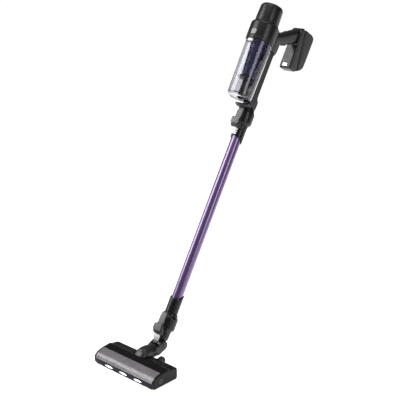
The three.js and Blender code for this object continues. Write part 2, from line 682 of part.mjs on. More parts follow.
// The outside of a socket: a barrel that flares out, and the block in front that carries the button.
function socketCollar(base) {
  const top = base + SOCKET_HEIGHT;
  const outside = turned([
    [0, base], [SLEEVE_RADIUS, base], [SLEEVE_RADIUS + 1, base + 17], [FLARE_RADIUS, base + 24],
    [FLARE_RADIUS, base + 57], [SLEEVE_RADIUS + 4, base + 63], [SLEEVE_RADIUS + 3, top], [0, top],
  ], 32);
  const rim = block(-BUTTON_BAND_HALF, BUTTON_BAND_HALF, -BUTTON_BAND_FRONT + 3, 0, base, base + 9.5);
  const bandSeat = block(-BUTTON_BAND_HALF, BUTTON_BAND_HALF, BAND_STOP, 0, base, base + 33);
  const stemSeat = block(-BUTTON_STEM_HALF, BUTTON_STEM_HALF, STEM_STOP, 0, base, base + 68);
  const far = -BUTTON_BAND_FRONT - 4;
  const press = block(-BUTTON_BAND_HALF - 1, BUTTON_BAND_HALF + 1, far, BAND_STOP, base + 9.5, base + 33);
  const stemPress = block(
    -BUTTON_STEM_HALF - GAP, BUTTON_STEM_HALF + GAP, far, STEM_STOP, base + 27.5, base + 67,
  );
  const springWell = rodY(4, BAND_STOP - 1, SPRING_FLOOR, 0, base + 20, 8);
  const plugBore = rodZ(TUBE_RADIUS + RUN, base + SOCKET_LIP, top + 1);
  const airBore = rodZ(STEM_BORE, base - 1, base + SOCKET_LIP + 1);
  return cut(join(outside, rim, bandSeat, stemSeat), press, stemPress, springWell, plugBore, airBore);
}

// The spring behind a button, at the length that it has when the button is pressed.
function buttonSpring(base) {
  const length = SPRING_FLOOR - BAND_STOP - GAP;
  return coilSpring(2.6, 0.5, length, 3).rotateX(-Math.PI / 2).translate(0, BAND_STOP, base + 20);
}

// The white tab under the front of a socket.
function socketTab(base) {
  const shape = outline([
    [-FLARE_RADIUS - 4, base - GAP],
    [-FLARE_RADIUS - 3, base - 8],
    [-SLEEVE_RADIUS - 2, base - 20],
    [-SLEEVE_RADIUS - GAP, base - 20],
    [-SLEEVE_RADIUS - GAP, base - GAP],
  ]);
  return alongX(shape, -TAB_HALF, TAB_HALF);
}

function wandTube() {
  return ring(TUBE_RADIUS - TUBE_WALL, TUBE_RADIUS, TUBE_SEAT, UPPER_SLEEVE_BOTTOM + SLEEVE_GRIP, 32);
}

// A plane that slants across the wand, as a tool that removes what is beyond it.
function slantTool(front, beyond) {
  const reach = SLEEVE_RADIUS + 10;
  const rise = (SLEEVE_SLANT * 2 * reach) / (2 * SLEEVE_RADIUS);
  const far = 60 * beyond;
  const rear = front + rise * beyond;
  return alongX(
    outline([[-reach, front], [reach, rear], [reach, rear + far], [-reach, front + far]]),
    -reach, reach,
  );
}

function wandLowerSleeve() {
  const seat = SOCKET_BASE + SOCKET_HEIGHT + GAP;
  const tubeSeat = TUBE_SEAT - GAP;
  const plug = rodZ(TUBE_RADIUS, seat - PLUG_LENGTH, seat + 1);
  const sleeve = rodZ(SLEEVE_RADIUS, seat, LOWER_SLEEVE_TOP + 5);
  const tubeBore = rodZ(TUBE_RADIUS + GAP, tubeSeat, LOWER_SLEEVE_TOP + 10);
  const airBore = rodZ(STEM_BORE, seat - PLUG_LENGTH - 1, tubeSeat + 1);
  const front = LOWER_SLEEVE_TOP - SLEEVE_SLANT - 3;
  return cut(join(plug, sleeve), tubeBore, airBore, slantTool(front, 1));
}

function wandUpperSleeve() {
  const top = SOCKET_BASE + SOCKET_RISE - GAP;
  const tubeEnd = UPPER_SLEEVE_BOTTOM + SLEEVE_GRIP + GAP;
  const sleeve = rodZ(SLEEVE_RADIUS, UPPER_SLEEVE_BOTTOM - 5, top);
  const tubeBore = rodZ(TUBE_RADIUS + GAP, UPPER_SLEEVE_BOTTOM - 10, tubeEnd);
  const airBore = rodZ(STEM_BORE, tubeEnd - 1, top + 1);
  const front = UPPER_SLEEVE_BOTTOM + SLEEVE_SLANT + 3;
  return cut(sleeve, tubeBore, airBore, slantTool(front, -1));
}

// ---------- handheld unit, in its own frame ----------

const onBody = (geometry) => geometry.translate(0, BODY_Y, 0);

// The duct behind the cup, the foot under it and the plug that enters the wand, with the air path inside.
function ductSpine() {
  const spineTop = COLLAR_BOTTOM - 1;
  const flangeTop = 4;
  const spine = alongX(outline([
    [SPINE_FRONT, flangeTop - 1],
    [SPINE_FRONT, spineTop],
    [SPINE_REAR, spineTop],
    [SPINE_REAR, FOOT_TOP + 32],
    [SPINE_FLARE_REAR, FOOT_TOP + 22],
    [SPINE_FLARE_REAR - 3, flangeTop - 1],
  ]), -SPINE_HALF, SPINE_HALF);
  const bowl = turned([
    [0, FOOT_BOTTOM],
    [FOOT_RADIUS - 8, FOOT_BOTTOM],
    [FOOT_RADIUS, FOOT_BOTTOM + 8],
    [FOOT_RADIUS, FOOT_TOP],
    [0, FOOT_TOP],
  ], 28).translate(0, FOOT_Y, 0);
  const bridge = block(-SPINE_HALF, SPINE_HALF, FOOT_Y, SPINE_REAR, flangeTop - 1, FOOT_TOP);
  const relief = tipped(block(-40, 40, -60, 0, 0, 30), CUP_TILT * 1.05, CUP_PIVOT_Y, FOOT_TOP);
  const socketRoom = rodZ(SLEEVE_RADIUS + 4.6, FOOT_BOTTOM - 1, GAP, 0, 0, 16);
  const buttonRoom = block(
    -BUTTON_STEM_HALF - 1, BUTTON_STEM_HALF + 1, -BUTTON_STEM_FRONT - 1, 0, FOOT_BOTTOM - 1, -2,
  );
  const flange = ring(STEM_BORE, SLEEVE_RADIUS + 2, GAP, flangeTop, 28);
  const plug = rodZ(TUBE_RADIUS, -PLUG_LENGTH, flangeTop);
  const bore = rodZ(STEM_BORE - 0.5, -PLUG_LENGTH - 1, FOOT_TOP + 20);
  const duct = block(
    -SPINE_HALF + WALL, SPINE_HALF - WALL, SPINE_FRONT + WALL, SPINE_REAR - WALL, FOOT_TOP + 8, spineTop - 6,
  );
  const inlet = block(
    -SPINE_HALF + WALL + 1, SPINE_HALF - WALL - 1, SPINE_FRONT - 1, SPINE_FRONT + WALL + 1,
    INLET_LOW, INLET_HIGH,
  );
  const foot = cut(join(bowl, bridge), relief, socketRoom, buttonRoom);
  return cut(join(spine, foot, flange, plug), bore, duct, inlet);
}

function cupProfile() {
  const inner = (radius) => radius - CUP_WALL;
  return [
    [0, CUP_BOTTOM],
    [CUP_BOTTOM_RADIUS - 6, CUP_BOTTOM],
    [CUP_BOTTOM_RADIUS - 1.8, CUP_BOTTOM + 1.8],
    [CUP_BOTTOM_RADIUS, CUP_BOTTOM + 6],
    [CUP_TOP_RADIUS, CUP_TOP],
    [inner(CUP_TOP_RADIUS), CUP_TOP],
    [inner(CUP_BOTTOM_RADIUS), CUP_BOTTOM + 7],
    [inner(CUP_BOTTOM_RADIUS) - 4, CUP_BOTTOM + CUP_WALL],
    [0, CUP_BOTTOM + CUP_WALL],
  ];
}

function dustCup() {
  const inlet = block(
    -SPINE_HALF + WALL + 1, SPINE_HALF - WALL - 1, CUP_TOP_RADIUS - 12, CUP_TOP_RADIUS + 2,
    INLET_LOW, INLET_HIGH,
  );
  return cut(turned(cupProfile(), 32), inlet).translate([0, BODY_Y, 0]);
}

const FLANGE_BOTTOM = CUP_TOP - 6;

// The ribbed column that hangs in the cup under a flange, hollow for the cleaned air.
function cycloneShroud() {
  const flangeRadius = CUP_TOP_RADIUS - CUP_WALL - GAP - 0.3;
  const column = turned([
    [SHROUD_BOTTOM_RADIUS - 2, SHROUD_BOTTOM],
    [SHROUD_BOTTOM_RADIUS, SHROUD_BOTTOM],
    [SHROUD_TOP_RADIUS, FLANGE_BOTTOM],
    [flangeRadius, FLANGE_BOTTOM],
    [flangeRadius, CUP_TOP],
    [SHROUD_TOP_RADIUS - 2, CUP_TOP],
    [SHROUD_BOTTOM_RADIUS - 2, SHROUD_BOTTOM],
  ], 24);
  const rib = outline([
    [SHROUD_BOTTOM_RADIUS - 1, SHROUD_BOTTOM + 2],
    [SHROUD_BOTTOM_RADIUS + 1.5, SHROUD_BOTTOM + 2],
    [SHROUD_TOP_RADIUS + 1.5, FLANGE_BOTTOM + 1],
    [SHROUD_TOP_RADIUS - 1, FLANGE_BOTTOM + 1],
  ]);
  const ribs = Array.from({ length: SHROUD_RIBS }, (_, i) =>
    alongY(rib, -0.7, 0.7).rotateZ((i / SHROUD_RIBS) * 2 * Math.PI),
  );
  return join(column, ...ribs).translate([0, BODY_Y, 0]);
}

function cycloneSkirt() {
  const top = SHROUD_BOTTOM - GAP;
  const bottom = CUP_BOTTOM + CUP_WALL + GAP;
  return onBody(turned([
    [0, bottom],
    [STEM_RADIUS + 2, bottom],
    [STEM_RADIUS, bottom + 8],
    [STEM_RADIUS, top - 14],
    [SKIRT_RADIUS, top - 12],
    [SKIRT_RADIUS, top - 9],
    [SHROUD_BOTTOM_RADIUS, top],
    [0, top],
  ]));
}

function cupTab() {
  const half = 9;
  const face = BODY_Y - CUP_TOP_RADIUS - 0.6;
  return block(-half, half, face - 3.4, face, CUP_TOP - 16, CUP_TOP - 3);
}

function bodyCollar() {
  const inner = COLLAR_RADIUS - WALL;
  const shoulder = CAP_BASE_RADIUS + 1;
  return onBody(turned([
    [inner, COLLAR_BOTTOM],
    [COLLAR_RADIUS, COLLAR_BOTTOM],
    [COLLAR_RADIUS, COLLAR_TOP - 5],
    [shoulder, COLLAR_TOP],
    [shoulder - WALL - 3, COLLAR_TOP],
    [shoulder - WALL - 3, COLLAR_TOP - 3],
    [inner, COLLAR_TOP - 7],
    [inner, COLLAR_BOTTOM],
  ], 36));
}

function cupSeal() {
  return onBody(ring(CUP_TOP_RADIUS - 6, COLLAR_RADIUS - WALL - GAP, COLLAR_BOTTOM, COLLAR_BOTTOM + 3, 28));
}

function preFilter() {
  return onBody(ring(6, COLLAR_RADIUS - WALL - 4, COLLAR_BOTTOM + 3 + GAP, COLLAR_BOTTOM + 17, 24));
}

const MOTOR_BASE = COLLAR_BOTTOM + 17 + GAP;

// The motor's can, open at the top where the fan turns.
function motorCan() {
  const top = COLLAR_TOP + 6;
  return onBody(turned([
    [3 + RUN, MOTOR_BASE + 4],
    [3 + RUN, MOTOR_BASE + 24],
    [ROTOR_RADIUS + 2, MOTOR_BASE + 24],
    [ROTOR_RADIUS + 2, top],
    [MOTOR_CAN_RADIUS, top],
    [MOTOR_CAN_RADIUS, MOTOR_BASE + 6],
    [MOTOR_CAN_RADIUS - 6, MOTOR_BASE],
    [0, MOTOR_BASE],
    [0, MOTOR_BASE + 4],
    [3 + RUN, MOTOR_BASE + 4],
  ]));
}

function fanRotor() {
  const base = MOTOR_BASE + 24 + 1;
  return onBody(turned([
    [0, MOTOR_BASE + 5],
    [3, MOTOR_BASE + 5],
    [3, base],
    [ROTOR_RADIUS, base],
    [ROTOR_RADIUS, base + 2],
    [8, base + 9],
    [0, base + 9],
  ]));
}

function filterCap() {
  const bottom = COLLAR_TOP + GAP;
  const edge = 5;
  const shell = turned([
    [CAP_BASE_RADIUS - WALL, bottom],
    [CAP_BASE_RADIUS, bottom],
    [CAP_TOP_RADIUS, CAP_TOP - edge],
    [CAP_TOP_RADIUS - edge * 0.3, CAP_TOP - edge * 0.3],
    [CAP_TOP_RADIUS - edge, CAP_TOP],
    [0, CAP_TOP],
    [0, CAP_TOP - WALL],
    [CAP_TOP_RADIUS - edge, CAP_TOP - WALL],
    [CAP_TOP_RADIUS - WALL, CAP_TOP - edge],
    [CAP_BASE_RADIUS - WALL, bottom],
  ], 32);
  const count = 8;
  const slots = Array.from({ length: count }, (_, i) =>
    block(12, 28, -1.6, 1.6, CAP_TOP - 6, CAP_TOP + 1).rotateZ((i / count) * 2 * Math.PI),
  );
  return cut(shell, ...slots).translate([0, BODY_Y, 0]);
}

function exhaustFilter() {
  return onBody(ring(14, CAP_TOP_RADIUS - WALL - 1.5, COLLAR_TOP + 8, CAP_TOP - WALL - 7, 24));
}

// ---------- handle, with heights above the bottom of the collar ----------

// The pod behind the collar, as a profile of [depth, height] from its own axis.
const POD_PROFILE = [
  [0, -26], [12, -20], [23, -10], [31, 2], [34, 18], [34, 36], [30, 52], [22, 64], [10, 74], [0, 78],
];
// Side outlines of the arm and the leg, in (y, z).
const ARM_LOW = [34, 38.5];
const ARM_TOP = [21, 74];
const ARM_END = [99, 72];
const ARM_TOP_END = [90, 123];
const ARM_POINTS = [[12, 40], ARM_LOW, ARM_END, [99, 126], ARM_TOP_END, ARM_TOP, [12, 70]];
// The seam between the leg and the battery behind it, in (y, z).
const SEAM_TOP = [110.7, 119];
const SEAM_LOW = [136.9, 3];
const LEG_POINTS = [
  [LEG_FRONT, -5], [LEG_FRONT + 5, -10.5], [131.5, -8.5], SEAM_LOW, SEAM_TOP, [106, 130], [99, 130],
  [LEG_FRONT - 4, 122], [LEG_FRONT - 4, 74], [LEG_FRONT, 70],
];
const BATTERY_POINTS = [
  [SEAM_LOW[0] + RUN, SEAM_LOW[1]], [134.8, -4], [150, 3], [165, 17], [167, 39], [167, 121],
  [163, 127], [150, 131], [113, 130], [SEAM_TOP[0] + RUN, SEAM_TOP[1]],
];
const ARM_SLOPE = Math.atan2(ARM_END[1] - ARM_LOW[1], ARM_END[0] - ARM_LOW[0]);
const ARM_TOP_SLOPE = Math.atan2(ARM_TOP_END[1] - ARM_TOP[1], ARM_TOP_END[0] - ARM_TOP[0]);
const TRIGGER_START = 12; // along the underside of the arm
const TRIGGER_FLANGE_TOP = WALL + 3; // above the underside of the arm
const MODE_BUTTON_START = 24; // along the top of the arm
const BOARD_BOTTOM = 17; // above the underside of the arm

const onUnderside = (geometry) => tipped(geometry, ARM_SLOPE, ...ARM_LOW);
const onTop = (geometry) => tipped(geometry, ARM_TOP_SLOPE, ...ARM_TOP);

function triggerBody(grow) {
  return onUnderside(block(
    -TRIGGER_HALF - grow, TRIGGER_HALF + grow, TRIGGER_START - grow, TRIGGER_START + TRIGGER_LENGTH + grow,
    -TRIGGER_DROP, TRIGGER_FLANGE_TOP - 0.4,
  ));
}

function trigger() {
  const flange = onUnderside(block(
    -TRIGGER_HALF - 3, TRIGGER_HALF + 3, TRIGGER_START - 2, TRIGGER_START + TRIGGER_LENGTH + 2,
    WALL + GAP, TRIGGER_FLANGE_TOP,
  ));
  return join(triggerBody(0), flange);
}

// The spring between the trigger and the board, at the length that it has when the trigger is pulled.
function triggerSpring() {
  const bottom = TRIGGER_FLANGE_TOP + TRIGGER_TRAVEL + GAP;
  const length = BOARD_BOTTOM - GAP - bottom;
  const spring = coilSpring(2.6, 0.5, length, 3);
  return onUnderside(spring.translate(0, TRIGGER_START + TRIGGER_LENGTH / 2, bottom));
}

function controlBoard() {
  return onUnderside(block(-10, 10, 6, 52, BOARD_BOTTOM, BOARD_BOTTOM + 1.6));
}

function modeButton() {
  const face = rodZ(MODE_BUTTON_RADIUS, -5, 1.5, 0, MODE_BUTTON_START);
  const flange = rodZ(MODE_BUTTON_RADIUS + 2, -6, -WALL - GAP - 0.4, 0, MODE_BUTTON_START);
  return onTop(geometryOf(join(face, flange)));
}

function batteryLatch() {
  const proud = 1.6;
  const inside = LEG_FRONT + WALL + GAP;
  const face = block(-LATCH_HALF, LATCH_HALF, LEG_FRONT - proud, inside + 1, LATCH_LOW, LATCH_HIGH);
  const flange = block(
    -LATCH_HALF - 2, LATCH_HALF + 2, inside, inside + 1.8, LATCH_LOW + 1.5, LATCH_HIGH + 2,
  );
  return join(face, flange);
}

// The pod, with its skin moved in by a wall.
function pod(wall) {
  const ends = [POD_PROFILE[0][1], POD_PROFILE[POD_PROFILE.length - 1][1]];
  const middle = (ends[0] + ends[1]) / 2;
  const stretch = 1 - (2 * wall) / (ends[1] - ends[0]);
  const profile = POD_PROFILE.map(([depth, height]) => [
    Math.max(depth - wall / POD_SQUEEZE, 0), middle + (height - middle) * stretch,
  ]);
  const inner = profile.filter(([depth], i) => depth > 0 || i === 0 || i === profile.length - 1);
  return turned(inner, 20).scale(POD_SQUEEZE, 1, 1).translate(0, POD_Y, 0);
}

// Pod, arm and leg as one hollow body, before it is split into its two halves.
function handleBody() {
  const outside = join(
    pod(0),
    alongX(outline(ARM_POINTS), -ARM_HALF, ARM_HALF),
    alongX(outline(LEG_POINTS), -LEG_HALF, LEG_HALF),
  );
  const inside = join(
    keep(pod(WALL), block(-40, 40, -40, 60, WALL, 200)),
    alongX(outline(inset(ARM_POINTS, WALL)), -ARM_HALF + WALL, ARM_HALF - WALL),
    alongX(outline(inset(LEG_POINTS, WALL)), -LEG_HALF + WALL, LEG_HALF - WALL),
  );
  const collarRoom = rodZ(COLLAR_RADIUS + GAP, -30, COLLAR_HEIGHT + CAP_HEIGHT, 0, BODY_Y, 20);
  const spineRoom = block(-40, 40, -80, SPINE_REAR + RUN, -60, -0.6);
  const buttonHole = onTop(rodZ(MODE_BUTTON_RADIUS + RUN, -6, 3, 0, MODE_BUTTON_START));
  const latchHole = block(
    -LATCH_HALF - RUN, LATCH_HALF + RUN, LEG_FRONT - 2, LEG_FRONT + WALL + 1,
    LATCH_LOW - RUN, LATCH_HIGH + RUN,
  );
  return cut(outside, inside, collarRoom, spineRoom, buttonHole, latchHole, triggerBody(RUN));
}

function handleShell(side) {
  const far = 200;
  const half = side > 0
    ? block(GAP / 2, far, -far, far, -far, far)
    : block(-far, -GAP / 2, -far, far, -far, far);
  return keep(handleBody(), half);
}

function batteryCase() {
  const outside = alongX(outline(BATTERY_POINTS), -BATTERY_HALF, BATTERY_HALF);
  const inside = alongX(outline(inset(BATTERY_POINTS, WALL)), -BATTERY_HALF + WALL, BATTERY_HALF - WALL);
  const contactSlot = block(-9, 9, SEAM_TOP[0], SEAM_TOP[0] + 14, 100, 110);
  return cut(outside, inside, contactSlot);
}

// Four cells side by side, held by a strap at each end.
function batteryCells() {
  const bottom = 53.5;
  const front = 137.6;
  const rear = front + 2 * CELL_RADIUS + 0.1;
  const centres = [[-1, front], [1, front], [-1, rear], [1, rear]];
  const cells = centres.map(([side, y]) =>
    rodZ(CELL_RADIUS, bottom, bottom + CELL_LENGTH, side * (CELL_RADIUS + 0.2), y, 8),
  );
  const straps = [bottom - 0.6, bottom + CELL_LENGTH - 0.4].map((z) =>
    block(-CELL_RADIUS, CELL_RADIUS, front - 3, rear + 3, z, z + 1),
  );
  return join(...cells, ...straps);
}

// ---------- assembly ----------

function floorHead() {
  const group = new THREE.Group();
  const lightXs = [-LIGHT_SPACING, 0, LIGHT_SPACING];
  group.add(
    piece("head_housing", cut(headHousing(), beltSlot()), blackShell),
    piece("brush_window", brushWindow(), smokyPlastic),
    piece("bumper_bar", bumperBar(lightXs), blackShell),
    piece("sole_plate", solePlate(), blackShell),
    piece("end_cap_left", endCap(-1), blackShell),
    piece("end_cap_right", endCap(1), blackShell),
    piece("brush_lock", brushLock(), greyShell),
    piece("glide_strip", glideStrip(), blackRubber),
    piece("light_board", lightBoard(), circuitBoard),
    piece("brush_core", brushCore(), blackShell),
    piece("bristle_strip_a", bristleStrip(0), bristleFibre),
    piece("bristle_strip_b", bristleStrip(Math.PI), bristleFibre),
    piece("brush_pulley", brushPulley(), greyShell),
    piece("brush_motor", brushMotor(), steel),
    piece("motor_pulley", motorPulley(), greyShell),
    piece("drive_belt", driveBelt(), blackRubber),
    piece("swivel_cover", swivelCover(), greyShell),
  );
  ["left", "center", "right"].forEach((place, i) => {
    const lens = alongY(lightOutline(lightXs[i], 0), HEAD_FRONT, HEAD_FRONT + LIGHT_DEPTH, 5);
    group.add(piece(`light_lens_${place}`, lens, lightLens));
  });
  [["left", -1], ["right", 1]].forEach(([place, side]) => {
    group.add(piece(`wheel_${place}`, wheel(side), blackRubber));
    group.add(piece(`wheel_axle_${place}`, wheelAxle(side), steel));
  });
  return group;
}

function neck() {
  const group = new THREE.Group();
  group.add(
    piece("swivel_barrel", swivelBarrel(), blackShell),
    piece("pivot_pin_left", pivotPin(-1), steel),
    piece("pivot_pin_right", pivotPin(1), steel),
  );
  return group;
}

// A socket with its button, spring and tab. level is lower or upper.
function coupling(level, base) {
  const group = new THREE.Group();
  group.add(
    piece(`${level}_socket`, socketCollar(base), blackShell),
    piece(`${level}_button`, releaseButton(base), greyShell),
    piece(`${level}_spring`, buttonSpring(base), steel),
    piece(`${level}_tab`, socketTab(base), whitePlastic),
  );
  return group;
}

function wand() {
  const group = new THREE.Group();
  group.add(
    piece("elbow_stem", elbowStem(), blackShell),
    coupling("lower", SOCKET_BASE),
    piece("wand_lower_sleeve", wandLowerSleeve(), blackShell),
    piece("wand_tube", wandTube(), purpleTube),
    piece("wand_upper_sleeve", wandUpperSleeve(), blackShell),
    coupling("upper", SOCKET_BASE + SOCKET_RISE),
  );
  return group;
}

// Pod, arm, leg and battery, set on the bottom of the collar.
function handle() {
  const group = new THREE.Group();
  group.position.z = COLLAR_BOTTOM;
  group.add(
    piece("handle_shell_left", handleShell(-1), blackShell),
    piece("handle_shell_right", handleShell(1), blackShell),
    piece("trigger", trigger(), greyShell),
    piece("trigger_spring", triggerSpring(), steel),
    piece("mode_button", modeButton(), greyShell),
    piece("control_board", controlBoard(), circuitBoard),
    piece("battery_latch", batteryLatch(), steel),
    piece("battery_case", batteryCase(), blackShell),
    piece("battery_cells", batteryCells(), cellWrap),
  );
  return group;
}

// The handheld unit, set on the top of the upper socket.
function handheld() {
  const group = new THREE.Group();
  group.position.z = SOCKET_BASE + SOCKET_RISE + SOCKET_HEIGHT;
  group.add(
    piece("duct_spine", ductSpine(), blackShell),
    piece("dust_cup", dustCup(), clearPlastic),
    piece("cyclone_shroud", cycloneShroud(), purplePlastic),
    piece("cyclone_skirt", cycloneSkirt(), greyShell),
    piece("cup_tab", cupTab(), whitePlastic),
    piece("cup_seal", cupSeal(), blackRubber),
    piece("body_collar", bodyCollar(), blackShell),
    piece("pre_filter", preFilter(), filterFoam),
    piece("motor_can", motorCan(), steel),
    piece("fan_rotor", fanRotor(), steel),
    piece("exhaust_filter", exhaustFilter(), filterFoam),
    piece("filter_cap", filterCap(), blackShell),
    handle(),
  );
  return group;
}

// The wand and the handheld unit share the wand's frame, which leans back from the pivot.
function leaning() {
  const group = new THREE.Group();
  group.position.set(0, PIVOT_Y, PIVOT_Z);
  group.rotation.x = -LEAN;
  group.add(wand(), handheld());
  return group;
}

const vacuum = new THREE.Group();
vacuum.add(floorHead(), neck(), leaning());

export default vacuum;
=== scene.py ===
# A cordless stick vacuum: the looks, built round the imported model. The frame is in metres, +Z up.
# Shapes and their spaces are in millimetres, and mesh_of turns them into metres.
import json
import math

import bmesh
import bpy
from mathutils import Matrix, Vector


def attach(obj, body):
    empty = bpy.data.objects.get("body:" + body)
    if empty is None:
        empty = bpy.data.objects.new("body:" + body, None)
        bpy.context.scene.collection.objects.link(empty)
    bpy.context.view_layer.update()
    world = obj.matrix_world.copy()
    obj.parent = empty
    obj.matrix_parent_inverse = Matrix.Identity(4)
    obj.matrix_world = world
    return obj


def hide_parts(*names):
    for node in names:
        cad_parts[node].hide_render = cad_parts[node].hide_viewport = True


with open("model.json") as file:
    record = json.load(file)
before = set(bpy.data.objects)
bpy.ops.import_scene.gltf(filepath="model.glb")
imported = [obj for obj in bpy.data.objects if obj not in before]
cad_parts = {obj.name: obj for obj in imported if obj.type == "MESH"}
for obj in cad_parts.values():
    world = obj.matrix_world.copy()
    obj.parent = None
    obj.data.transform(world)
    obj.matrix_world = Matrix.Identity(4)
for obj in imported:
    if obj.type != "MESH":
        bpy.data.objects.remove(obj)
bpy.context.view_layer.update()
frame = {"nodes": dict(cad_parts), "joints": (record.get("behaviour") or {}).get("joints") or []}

MM = 0.001
NODES = frame["nodes"]
JOINTS = {joint["name"]: joint for joint in frame["joints"]}

# ---------- the spaces: the floor's, the wand's, which leans back from its pivot, and the swivel's ----------

FLOOR = Matrix.Identity(4)
PIVOT = Vector(JOINTS["neck_pitch"]["pos_m"]) / MM
WAND_UP = -Vector(JOINTS["wand_release"]["axis"])
WAND_REAR = Vector(JOINTS["upper_button_press"]["axis"])
WAND = Matrix.Translation(PIVOT) @ Matrix((Vector((1, 0, 0)), WAND_REAR, WAND_UP)).transposed().to_4x4()
# The swivel's space: its height runs along +Y of the floor.
ROLL = Vector(JOINTS["neck_roll"]["pos_m"]) / MM
SWIVEL = Matrix.Translation(Vector((0, 0, ROLL.z))) @ Matrix.Rotation(-math.pi / 2, 4, "X")


def corners(node, space):
    away = space.inverted()
    return [away @ (vertex.co / MM) for vertex in NODES[node].data.vertices]


def span(node, space=WAND):
    """Lowest and highest corner of a CAD node, measured in a space."""
    points = corners(node, space)
    low = Vector(min(p[i] for p in points) for i in range(3))
    high = Vector(max(p[i] for p in points) for i in range(3))
    return low, high


# ---------- shapes: a list of vertices and a list of faces each, in millimetres ----------

def lerp(a, b, t):
    return a + (b - a) * t


def fillet(points, radius, steps=5, closed=True):
    """Rounds the corners of an outline. A point may carry its own radius as a third value."""
    made = []
    count = len(points)
    for i, point in enumerate(points):
        here = Vector(point[:2])
        size = point[2] if len(point) > 2 else radius
        if size <= 0 or (not closed and i in (0, count - 1)):
            made.append(tuple(here))
            continue
        before = Vector(points[i - 1][:2])
        after = Vector(points[(i + 1) % count][:2])
        reach_a = min(size, (before - here).length * 0.48)
        reach_b = min(size, (after - here).length * 0.48)
        start = here + (before - here).normalized() * reach_a
        end = here + (after - here).normalized() * reach_b
        for k in range(steps + 1):
            t = k / steps
            made.append(tuple(start * (1 - t) ** 2 + here * 2 * t * (1 - t) + end * t ** 2))
    return made


def rounded(points, radius, steps=6):
    """An outline with rounded corners, as a function of how far its sides are moved inwards."""
    count = len(points)
    area = sum(points[i - 1][0] * points[i][1] - points[i][0] * points[i - 1][1] for i in range(count))
    side = 1 if area > 0 else -1

    def at(distance):
        made = []
        for i, point in enumerate(points):
            here = Vector(point[:2])
            before, after = Vector(points[i - 1][:2]), Vector(points[(i + 1) % count][:2])
            u, v = (here - before).normalized(), (after - here).normalized()
            normals = Vector((-u.y, u.x)) * side, Vector((-v.y, v.x)) * side
            mitre = (normals[0] + normals[1]) / (1 + normals[0].dot(normals[1]))
            turn = math.copysign(mitre.cross(normals[0]), (u.x * v.y - u.y * v.x) * side)
            size = point[2] if len(point) > 2 else radius
            made.append((*(here + mitre * distance), max(size - distance * turn, 0.02)))
        return fillet(made, radius, steps)

    return at


def circle(radius, steps=64, a=0.0, b=0.0):
    return [
        (a + radius * math.cos(2 * math.pi * i / steps), b + radius * math.sin(2 * math.pi * i / steps))
        for i in range(steps)
    ]


def rounded_box(a0, a1, b0, b1, radius, steps=6):
    return rounded([(a0, b0), (a1, b0), (a1, b1), (a0, b1)], radius, steps)


def band(start, r0, end, r1, steps=18):
    """Two circles held together by a taut band, in (y, z)."""
    along = math.atan2(end[1] - start[1], end[0] - start[0])
    half_turn = math.acos((r0 - r1) / math.dist(start, end))
    made = []
    for centre, radius, first, last in (
        (start, r0, along + half_turn, along - half_turn + 2 * math.pi),
        (end, r1, along - half_turn, along + half_turn),
    ):
        for k in range(steps + 1):
            angle = lerp(first, last, k / steps)
            made.append((centre[0] + radius * math.cos(angle), centre[1] + radius * math.sin(angle)))
    return made


def offset(points, distance):
    """A closed outline moved inwards by a distance."""
    count = len(points)
    area = sum(points[i - 1][0] * points[i][1] - points[i][0] * points[i - 1][1] for i in range(count))
    side = 1 if area > 0 else -1
    made = []
    for i, point in enumerate(points):
        before, here, after = Vector(points[i - 1]), Vector(point), Vector(points[(i + 1) % count])
        ways = [way.normalized() for way in (here - before, after - here) if way.length > 1e-6]
        along = sum(ways, Vector((0, 0))).normalized() if ways else Vector((1, 0))
        normal = Vector((-along.y, along.x)) * side
        made.append(tuple(here + normal * distance))
    return made


PLACE = {
    "x": lambda a, b, c: Vector((c, a, b)),
    "y": lambda a, b, c: Vector((a, c, b)),
    "z": lambda a, b, c: Vector((a, b, c)),
}


def skin(loops, ring=False):
    """Joins loops of equally many points into one surface."""
    count = len(loops[0])
    vertices = [p for loop in loops for p in loop]
    faces = []
    rows = len(loops) if ring else len(loops) - 1
    for r in range(rows):
        low, high = r * count, (r + 1) % len(loops) * count
        for i in range(count):
            j = (i + 1) % count
            faces.append((low + i, low + j, high + j, high + i))
    if not ring:
        faces.append(tuple(range(count)))
        last = (len(loops) - 1) * count
        faces.append(tuple(last + i for i in range(count)))
    return vertices, faces


def prism(outline, low, high, edge=1, axis="x", low_edge=None, steps=4):
    """An outline drawn out along an axis, with its rims rounded."""
    place = PLACE[axis]
    low_edge = edge if low_edge is None else low_edge
    loops = []
    for size, base, way in ((low_edge, low, 1), (edge, high, -1)):
        angles = [k / steps * math.pi / 2 for k in range(steps + 1)] if size > 0 else [math.pi / 2]
        if way < 0:
            angles = angles[::-1]
        for angle in angles:
            step = size * (1 - math.sin(angle))
            inner = outline(step) if callable(outline) else offset(outline, step) if size > 0 else outline
            depth = base + way * size * (1 - math.cos(angle))
            loops.append([place(a, b, depth) for a, b in inner])
    return skin(loops)


